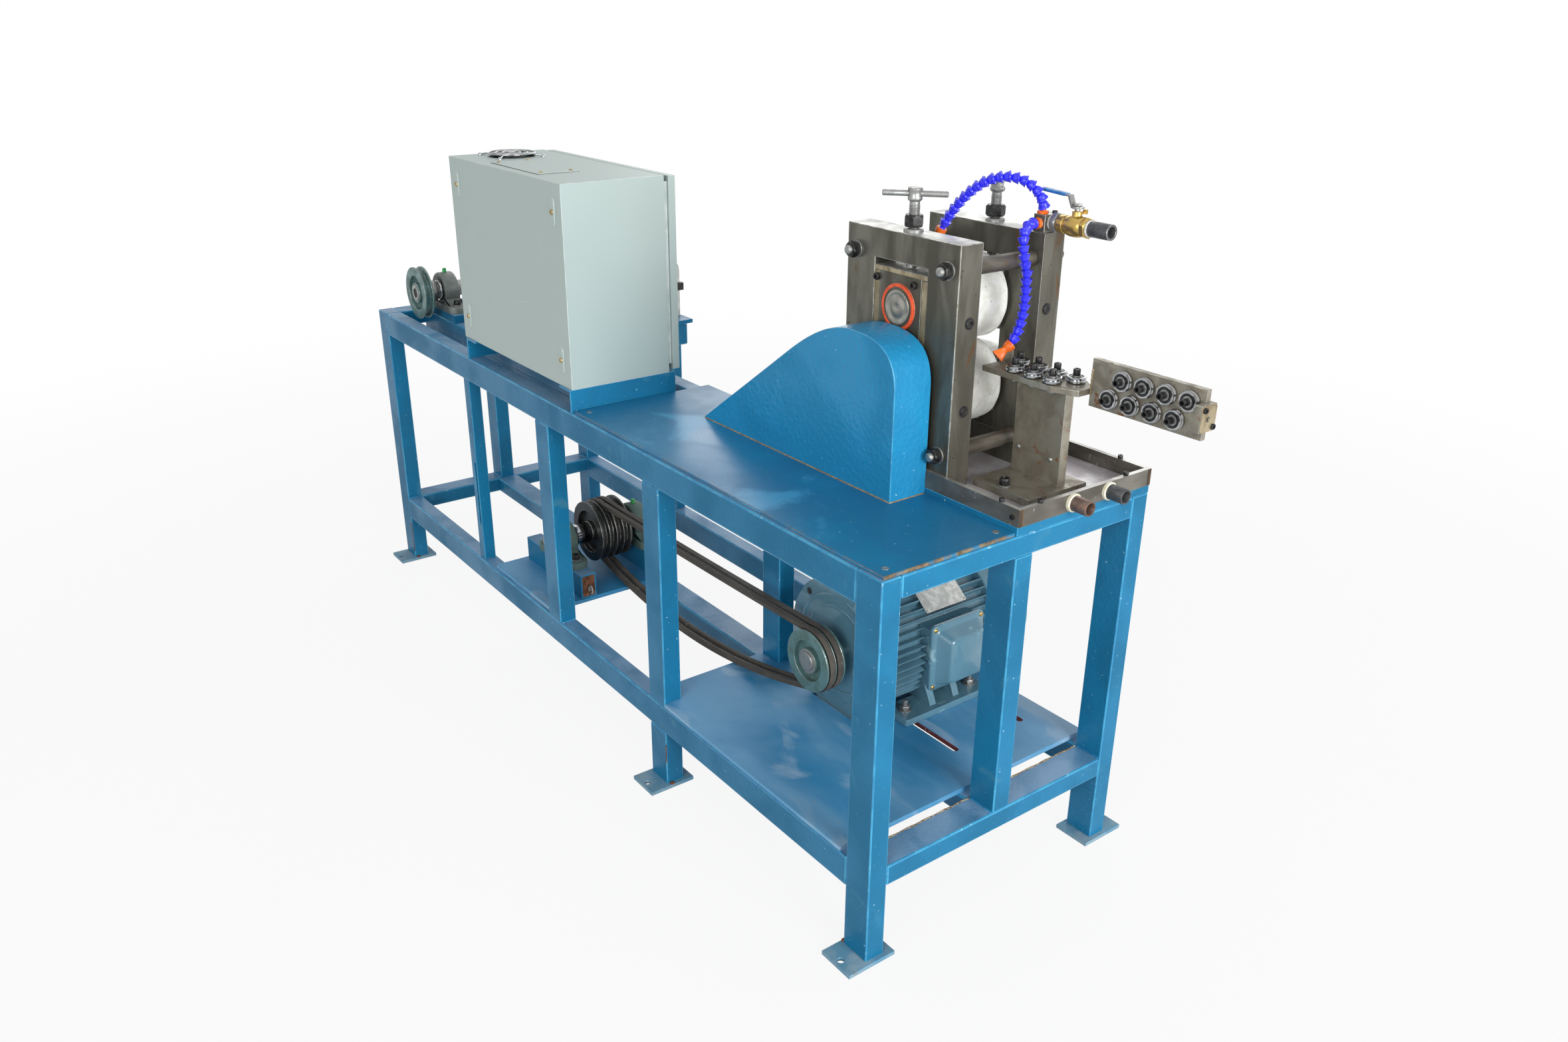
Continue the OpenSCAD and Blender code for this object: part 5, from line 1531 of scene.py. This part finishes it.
@dataclass
class Cabinet:
    """Control cabinet with its door, fan and cover plate."""

    low: tuple[float, float, float] = (588.0, 4.0, 782.0)
    high: tuple[float, float, float] = (1124.0, 238.0, 1195.0)
    fan: tuple[float, float] = (663.0, 122.0)

    def build(self) -> None:
        """Dresses the cabinet and adds the fan, painted shade in the cover plate's gap, and the screws."""
        dress(("cabinet", "cabinet_door"), Look.CABINET, Look.CABINET_EDGE, 1.4)
        self.fan_guard()
        self.blades()
        self.plates()
        self.scratches()
        piece("door_seal", block((1113, 238.2, 800), (1119, 247.2, 1182)), Look.CABINET_EDGE)

    def scratches(self) -> None:
        """Scratches the near face: thin raised lines, each a shallow arc between two points."""
        marks = ((690, 1010, 830, 1090, 14), (830, 1090, 960, 1010, 30), (720, 1050, 880, 900, -22),
                 (700, 990, 760, 850, 8), (790, 880, 930, 930, 6), (905, 1100, 950, 1085, 2),
                 (680, 860, 780, 900, -5), (930, 930, 955, 905, 2), (1000, 1120, 1040, 1000, 9),
                 (650, 1090, 668, 930, 4))
        section = np.array([(0, -0.35), (0, 0.35), (0.12, 0.35), (0.12, -0.35)])
        lines = []
        for a, b, c, d, lift in marks:
            path = standing(hung((a, b), (c, d), -lift, np.linspace(0, 1, 14)), self.low[1] - 0.02)
            lines.append(carried(section, path, NEAR))
        piece("cabinet_scratches", joined(lines), Look.CABINET_EDGE)

    def fan_guard(self) -> None:
        """Bends the fan's wire guard: round wire carried around three circles and along four arms that dip
        at their ends, with a round hub and four domed screws."""
        x, y = self.fan
        top = self.high[2]
        wire = circle(2, 0, 12)[:, :2]
        angle = np.linspace(0, ROUND, 64, endpoint=False)
        shapes = [carried(wire, level(arc(self.fan, r, angle), top + 7), UP, True) for r in (20, 36, 52)]
        reach = np.linspace(6, 74, 16)
        drop = top + 4.5 - 2.2 * np.clip((reach - 54) / 16, 0, 1) ** 2
        for turn in np.radians([45, 135, 225, 315]):
            arm = np.stack([x + reach * math.cos(turn), y + reach * math.sin(turn), drop], -1)
            shapes.append(carried(wire, arm, UP))
            shapes.append(dome(5, 4.6, 1.0).at((*arm[-1, :2], top + 1)))
        shapes.append(turned([(8, 3), (8.4, 4), (8.4, 8), (7.4, 9.2), (2, 9.4)], 32).at((x, y, top)))
        piece("fan_guard", joined(shapes), Look.CHROME, stands_for=("fan_grille",))

    def blades(self) -> None:
        """Builds the fan under its guard: a hub, a dark frame, and seven blades, each a thin section that
        twists as it is carried outward."""
        x, y = self.fan
        top = self.high[2]
        shapes = [turned([(51.6, -12), (51.6, -9), (24, -9), (24, -10)], 48).at((x, y, top)),
                  turned([(23, -9), (23, -3.4), (21.5, -2.4), (3, -2.2)], 40).at((x, y, top))]
        reach = np.linspace(20, 49.5, 8)
        lean = np.linspace(0.75, 0.42, 8)[:, None]
        wide = np.linspace(9.5, 13, 8)[:, None]
        t = (np.arange(14) * ROUND / 14)[None, :]
        flat = np.stack([wide * np.cos(t), 0.7 * np.sin(t) + 0 * wide], -1)
        section = np.stack([flat[..., 0] * np.cos(lean) - flat[..., 1] * np.sin(lean),
                            (flat[..., 0] * np.sin(lean) + flat[..., 1] * np.cos(lean)) * 0.45], -1)
        for turn in np.arange(7) * ROUND / 7 + 0.2:
            path = np.stack([x + reach * math.cos(turn), y + reach * math.sin(turn), np.full(8, top - 5.6)],
                            -1)
            shapes.append(carried(section, path, (-math.sin(turn), math.cos(turn), 0)))
        piece("fan_blades", joined(shapes), Look.HOLE_SHADE_AND_BLACK)

    def plates(self) -> None:
        """Adds painted shade in the cover's gap, its screws, the near face's dimples with theirs, and the
        door's lock.

        A dimple is a stack of long rounded outlines that draw in as they rise.
        """
        top = self.high[2]
        # A near-black sheet: painted shade in the gap around the cover plate.
        gap = slab(rounded(225, 95, 2) + np.array([869, 76]), top, top + 0.5)
        piece("cover_gap_shade", gap, Look.HOLE_SHADE_AND_BLACK)
        cover = [pan_screw(4.2, 2.4).at((x, y, top + 2)) for x in (770, 968) for y in (42, 110)]
        seats = [(x, self.low[1], z) for x in (622, 1086) for z in (838, 1137)]
        screws = [pan_screw(6, 3.2).at((x, y - 1.8, z), NEAR, 37.0 * i)
                  for i, (x, y, z) in enumerate(seats)]
        piece("cabinet_screws", joined(cover + screws), Look.YELLOW_ZINC)
        rows = ((20, 60, 0), (19.4, 59.4, 0.9), (17.4, 57.4, 1.8), (12, 52, 2.0))
        dimple = stacked([level(rounded(a, b, a / 2.02), h) for a, b, h in rows])
        dimples = joined(dimple.at(seat, NEAR, 90) for seat in seats)
        piece("cabinet_dimples", dimples, Look.CABINET, sharp=60)
        lock = [turned([(12, 0), (12, 2), (10.5, 3.4), (4, 3.6)], 32).at((1098, 264, 990), FAR),
                block((1095.4, 267, 981), (1100.6, 271, 999))]
        piece("door_lock", joined(lock), Look.ZINC, "door", bevel=0.4)


@dataclass
class PillowBlock:
    """A cast bearing block on a shaft along Y."""

    x: float
    y: float
    z: float
    rise: float = 49.0

    def casting(self) -> Shape:
        """Skins the casting: the side outline, a foot that curves up into a round head, is carried across
        the block in rows that draw in towards both faces; the foot is a wider rounded slab.

        Returns:
            The casting.
        """
        head = arc((0, 0), 46, np.linspace(-0.42, math.pi + 0.42, 26))
        t = np.linspace(0, 1, 7)[:, None]
        toe, bend = np.array([80, -31]), np.array([50, -31])
        sweep = (1 - t) ** 2 * toe + 2 * t * (1 - t) * bend + t ** 2 * head[0]
        side = np.vstack([[[80, -self.rise]], sweep[:-1], head, sweep[:-1][::-1] * (-1, 1),
                          [[-80, -self.rise]]])
        side += (0, self.rise)
        rows = [(-20.5, 0.93), (-19.6, 0.975), (-16.5, 1), (16.5, 1), (19.6, 0.975), (20.5, 0.93)]
        body = stacked([standing(side * s + (self.x, self.z - self.rise), self.y + w) for w, s in rows])
        foot = rounded(184, 54, 24, 8)
        plan = [(1.0, 0), (1.0, 12), (0.985, 15.5), (0.94, 17.5)]
        pad = stacked([level(foot * s + (self.x, self.y), self.z - self.rise + h) for s, h in plan])
        return joined([body, pad])

    def insert(self) -> Shape:
        """Turns the bearing's inner ring, proud of the casting on both sides, with two grub screws.

        Returns:
            The ring and its screws.
        """
        ring = turned([(20.2, -25), (26.4, -25), (27, -24.2), (27, 24.2), (26.4, 25), (20.2, 25)], 40,
                      hollow=True)
        ways = [np.array([math.sin(a), 0, math.cos(a)]) for a in (0.5, -1.4)]
        grubs = [cap_screw(3, 1.4).at((self.x, self.y - 22.4, self.z) + 26.6 * way, way) for way in ways]
        return joined([ring.at((self.x, self.y, self.z), FAR)] + grubs)

    def shield(self) -> Shape:
        """Turns the dark shield around the inner ring."""
        ring = turned([(27, -21.2), (38, -21.2), (39, -20.2), (39, 20.2), (38, 21.2), (27, 21.2)], 40,
                      hollow=True)
        return ring.at((self.x, self.y, self.z), FAR)

    def cap(self) -> Shape:
        """Turns the grease fitting's cap."""
        cap = turned([(4.6, 0), (5.4, 0.6), (5.4, 5), (4.8, 7), (5.2, 9), (4, 11.6), (1, 12)], 20)
        return cap.at((self.x, self.y, self.z + 44.5))

    def bolts(self) -> tuple[Shape, Shape]:
        """Sets two washers with socket screws on the foot.

        Returns:
            The washers and the screws.
        """
        seats = [(self.x + dx, self.y, self.z - self.rise + 17.4) for dx in (-68, 68)]
        return (joined(washer(13, 2.4).at(seat) for seat in seats),
                joined(cap_screw(9, 11).at((a, b, c + 2.4)) for a, b, c in seats))


def bearings(name: str, node: str, blocks: Sequence[PillowBlock], paint: Finish) -> None:
    """Builds a pair of pillow blocks as castings, inner rings, shields, grease caps and bolts.

    Args:
        name: start of the pieces' names.
        node: the node that they replace.
        blocks: the blocks.
        paint: finish of the castings.
    """
    piece(f"{name}_castings", joined(block.casting() for block in blocks), paint,
          stands_for=(node,))
    piece(f"{name}_inserts", joined(block.insert() for block in blocks), Look.CHROME)
    piece(f"{name}_shields", joined(block.shield() for block in blocks), Look.BLACK)
    piece(f"{name}_grease_caps", joined(block.cap() for block in blocks), Look.GREEN)
    pairs = [block.bolts() for block in blocks]
    piece(f"{name}_washers", joined(pair[0] for pair in pairs), Look.ZINC)
    piece(f"{name}_screws", joined(pair[1] for pair in pairs), Look.BLACK)


@dataclass
class Drive:
    """Motor, belts and countershaft."""

    motor: tuple[float, float] = (1670.0, 334.0)
    counter: tuple[float, float] = (812.0, 311.0)
    radii: tuple[float, float] = (63.0, 52.5)
    flange: float = 277.0

    def build(self) -> None:
        """Dresses the motor and pulleys and adds the belts, bearings, plate, lid and bolts."""
        self.motor_shell()
        dress(("motor_pulley",), Look.PULLEY, Look.STEEL_EDGE, 0.5)
        dress(("counter_pulley",), Look.BLACK_CAST, Look.STEEL_EDGE, 0.5)
        self.belts()
        x, z = self.counter
        bearings("counter", "counter_bearings", [PillowBlock(x, y, z) for y in (110.0, 310.0)],
                 Look.CASTING)
        self.shafts()
        self.motor_parts()

    def loop(self, up: float) -> Array:
        """Gives a belt's line in X and Z: an arc about each pulley, and between them runs that sag as
        parabolas, 60 mm below and 3 mm above.

        Args:
            up: height over the groove's floor.

        Returns:
            The closed line's points.
        """
        r1, r2 = (radius + up for radius in self.radii)
        c1, c2 = np.array(self.counter), np.array(self.motor)
        span = float(np.linalg.norm(c2 - c1))
        a, b = math.atan2(*(c2 - c1)[::-1]), math.acos((r1 - r2) / span)
        first = arc(c1, r1, np.linspace(a + b, a - b + ROUND, 40))
        second = arc(c2, r2, np.linspace(a - b, a + b, 36))
        t = np.linspace(0, 1, 42)[1:-1]
        return np.vstack([first, hung(first[-1], second[0], 60, t), second,
                          hung(second[-1], first[0], 3, t)])

    def belts(self) -> None:
        """Carries a V section with a rounded back around the loop for each of the two belts."""
        line = self.loop(8.5)
        section = np.array([(-6.2, -5.2), (-5.6, -5.7), (5.6, -5.7), (6.2, -5.2), (6.1, -3.4), (5.7, -2.9),
                            (4.2, 5.2), (3.6, 5.6), (-3.6, 5.6), (-4.2, 5.2), (-5.7, -2.9), (-6.1, -3.4)])
        belts = [carried(section, standing(line, y), FAR, True) for y in (212.5, 231.5)]
        piece("belt_pair", joined(belts), Look.RUBBER, stands_for=("drive_belts",))

    def shafts(self) -> None:
        """Turns the countershaft's bare lengths, hub sleeve and grub screw, and the motor shaft's end."""
        x, z = self.counter
        axis = ((x, 0, z), FAR)
        bare = bare_lengths(((67.6, 85.2), (134.6, 141.4), (263.4, 285.4), (334.6, 352.4)), 19)
        piece("counter_shaft", bare.at(*axis), Look.ZINC, "countershaft")
        hub = turned([(20, 140.6), (24.6, 140.6), (25.4, 141.6), (25.4, 180), (24.6, 181.2), (20, 181.2)],
                     40, True)
        piece("counter_hub", hub.at(*axis), Look.CHROME, "countershaft")
        grub = cap_screw(4, 1.6).at((x + 10, 160, z + 23.6), (0.4, 0, 0.92))
        piece("counter_grub", grub, Look.BLACK, "countershaft")
        x, z = self.motor
        end = turned([(18, 196.4), (19.2, 197.4), (19.2, 199.6), (26, 199.8)])
        piece("motor_shaft_end", end.at((x, 0, z), FAR), Look.ZINC, "motor_shaft")

    def motor_shell(self) -> None:
        """Builds the motor: a turned flange with a flat under it, a turned barrel and cowl, ribs, feet, the
        lid's stem, and painted shade in the flange's holes and in the cowl's slots, with bars across the
        slots."""
        x, z = self.motor
        y = self.flange
        axis = ((x, y, z), FAR)
        flange = turned([(19.2, 0), (147.5, 0), (150, 2.5), (150, 11.5), (147.5, 14), (120, 14)],
                        96).at(*axis)
        flange.points[:, 2] = np.maximum(flange.points[:, 2], 196)
        barrel = turned([(110, 12), (122, 15), (122, 42), (119, 48), (112, 51), (112, 310), (110, 312)],
                        96).at(*axis)
        cowl = turned([(112, 309), (129.5, 309), (131, 311), (131, 392), (129, 402), (122, 413), (112, 422),
                       (100, 428), (60, 432.5), (20, 434.4), (2, 435)], 96).at(*axis)
        stem = block((x + 100, y + 124, z - 62), (x + 136, y + 252, z + 62))
        shell = joined([flange, barrel, cowl, stem] + self.ribs() + self.feet())
        piece("motor_shell", shell, Look.MOTOR, stands_for=("motor",), bevel=0.8)
        # Dark discs: painted shade in the flange's holes.
        hole = turned([(7.5, -0.3), (7.5, 0.6), (1, 0.6)], 24)
        places = standing(arc(self.motor, 132.5, np.radians([45, 135, 225, 315])), y)
        piece("flange_hole_shade", joined(hole.at(place, FAR) for place in places), Look.HOLE_SHADE_AND_BLACK)
        # Dark rings: painted shade in the cowl's vent slots.
        slots = []
        for r in (28, 44, 60, 76, 92):
            inner, outer = np.interp((r - 4, r + 4), (20, 60, 100), (434.4, 432.5, 428))
            rows = [(r - 4, inner + 0.3), (r + 4, outer + 0.3), (r + 4, outer - 1), (r - 4, inner - 1)]
            slots.append(turned(rows, 72, True).at(*axis))
        piece("cowl_slot_shade", joined(slots), Look.HOLE_SHADE_AND_BLACK)
        bar = block((-3.5, 18, 427.6), (3.5, 97, 435.4))
        spokes = [bar.at(*axis, turn) for turn in range(0, 360, 60)]
        piece("cowl_bars", joined(spokes), Look.MOTOR, bevel=0.8)

    def ribs(self) -> list[Shape]:
        """Builds the cooling ribs: a tapered section with a round tip is carried along the barrel, and
        turned about its axis by an angle for each rib.

        Returns:
            The ribs.
        """
        x, z = self.motor
        turns = np.radians(np.concatenate([np.arange(-52, 53, 8), np.arange(128, 233, 8),
                                           np.arange(66, 115, 8)]))
        section = np.array([(104, -3), (127.8, -1.7), (129.5, -1), (130, 0), (129.5, 1), (127.8, 1.7),
                            (104, 3)])
        ends = [self.flange + along for along in (44, 50, 308, 311)]
        ribs = []
        for turn in turns:
            out = np.array([math.cos(turn), math.sin(turn)])
            side = np.array([-math.sin(turn), math.cos(turn)])
            row = section[:, :1] * out + section[:, 1:] * side + (x, z)
            ribs.append(stacked([standing(row, y) for y in ends]))
        return ribs

    def feet(self) -> list[Shape]:
        """Builds the two feet, each a stack of rounded outlines with two webs that rise to the barrel.

        Returns:
            The feet and webs.
        """
        (x, _), y = self.motor, self.flange
        plan = rounded(68, 228, 5)
        rows = ((0.97, 202), (1, 203.5), (1, 215), (0.98, 217))
        web = np.array([(60, 216), (128, 216), (122, 230), (96, 276), (60, 282)])
        feet = []
        for way in (-1, 1):
            feet.append(stacked([level(plan * f + (x + way * 108, y + 178), h) for f, h in rows]))
            feet += [stacked([standing(web * (way, 1) + (x, 0), y + place + d) for d in (0, 16)])
                     for place in (140, 204)]
        return feet

    def motor_parts(self) -> None:
        """Adds the flange's raised arcs, the bare plate with its rivets, the terminal lid and foot bolts.

        An arc is a low ridge carried around the shaft's axis; the lid is a stack of rounded rectangles that
        draw in towards its face.
        """
        x, z = self.motor
        section = np.array([(-3, 0), (-3, 1.4), (-2.2, 2), (2.2, 2), (3, 1.4), (3, 0)])
        ridges = []
        for r, gaps in ((116, 45), (92, 0)):
            for middle in np.radians(np.arange(4) * 90 + gaps):
                t = np.linspace(middle - 0.56, middle + 0.56, 28)
                rows = [standing(arc(self.motor, r + out, t), self.flange - rise) for out, rise in section]
                ridges.append(woven(np.stack(rows, 1)))
        piece("flange_ridges", joined(ridges), Look.MOTOR)
        lean = math.radians(51)
        way = (math.cos(lean), 0, math.sin(lean))
        middle = np.array([x, self.flange + 192, z]) + 129.6 * np.array(way)
        plate = slab(rounded(58, 108, 3), 0, 1.2).at(middle, way)
        piece("bare_plate", plate, Look.BARE, bevel=0.2)
        rivets = joined(dome(2.2, 1.3, 0.3).at((a, b, 1.2)) for a in (-25, 25) for b in (-50, 50))
        piece("plate_rivets", rivets.at(middle, way), Look.ZINC)
        rows = ((139, 143, 135), (140, 144, 136), (140, 144, 142), (138, 142, 143.5), (118, 122, 144.5),
                (114, 118, 147), (94, 98, 170), (90, 94, 174), (82, 86, 175.4))
        y, height = self.flange + 188, z + 2
        lid = stacked([facing(rounded(a, b, 11, 8) + (y, height), x + h) for a, b, h in rows])
        piece("terminal_lid", lid, Look.MOTOR, sharp=50)
        brass = [pan_screw(5, 2.8).at((x + 143.4, y + a, height + b), RIGHT, 30 * i)
                 for i, (a, b) in enumerate(((-61, -63), (61, -63), (-61, 63), (61, 63)))]
        piece("lid_screws", joined(brass), Look.BRASS)
        stud = turned([(5.6, 10), (5.6, 22), (4.8, 23)], 20)
        bolt = joined([washer(13, 2.2), hex_nut(10.5, 9).at((0, 0, 2.2)), stud])
        seats = [(x + a, self.flange + b, 217) for a in (-108, 108) for b in (89, 267)]
        piece("motor_bolts", joined(bolt.at(seat) for seat in seats), Look.ZINC)


@dataclass
class TakeUp:
    """Take-up shaft in pillow blocks on blue pads, with its pulley and collar."""

    x: float = 163.0
    z: float = 801.0
    blocks: tuple[float, float] = (134.0, 309.0)

    def build(self) -> None:
        """Dresses the pulley and adds the bearings, pads, shaft and collar."""
        dress(("takeup_pulley",), Look.PULLEY, Look.STEEL_EDGE, 0.5)
        bearings("takeup", "takeup_bearings", [PillowBlock(self.x, y, self.z) for y in self.blocks],
                 Look.GREY_CAST)
        pads = [block((self.x - 103, y - 27, 732), (self.x + 106, y + 27, 752)) for y in self.blocks]
        piece("takeup_pads", joined(pads), Look.BLUE, bevel=1.4)
        bare = bare_lengths(((51.6, 55), (102.8, 109.4), (158.6, 284.4), (333.6, 419.4)), 18.8)
        collar = turned([(20, 74.6), (26.4, 74.6), (27.3, 75.6), (27.3, 102), (26.4, 103.2), (20, 103.2)],
                        40, True)
        hub = turned([(12.5, 48.6), (19.6, 48.6), (20.6, 49.6), (20.6, 51), (12.5, 51)], 40, True)
        # Dark disc: painted shade in the hub's bore.
        bore = turned([(12.6, 49.7), (12.6, 50.4), (2, 50.4)])
        for name, shape, finish, slot in (("takeup_shaft_bright", bare, Look.ZINC, "bright_steel"),
                                          ("takeup_collar", collar, Look.ZINC, "bright_steel"),
                                          ("takeup_hub", hub, Look.ZINC, "bright_steel"),
                                          ("takeup_bore_shade", bore, Look.HOLE_SHADE_AND_BLACK, "black_steel")):
            piece(name, shape.at((self.x, 0, self.z), FAR), finish, "takeup_shaft")
        grub = cap_screw(4.2, 1.6).at((self.x + 12, 89, self.z + 24.8), (0.43, 0, 0.9))
        piece("takeup_grub", grub, Look.BLACK, "takeup_shaft")


def main() -> None:
    """Builds the studio and each sub-assembly."""
    logging.basicConfig(level=logging.INFO, format="%(name)s: %(message)s")
    bpy.context.scene.view_settings.view_transform = "Standard"
    for part in (Studio(), BaseFrame(), Table(), Mill(), Straighteners(), Coolant(), Cabinet(), Drive(),
                 TakeUp()):
        log.info("building %s", type(part).__name__)
        part.build()


if __name__ == "__main__":
    main()
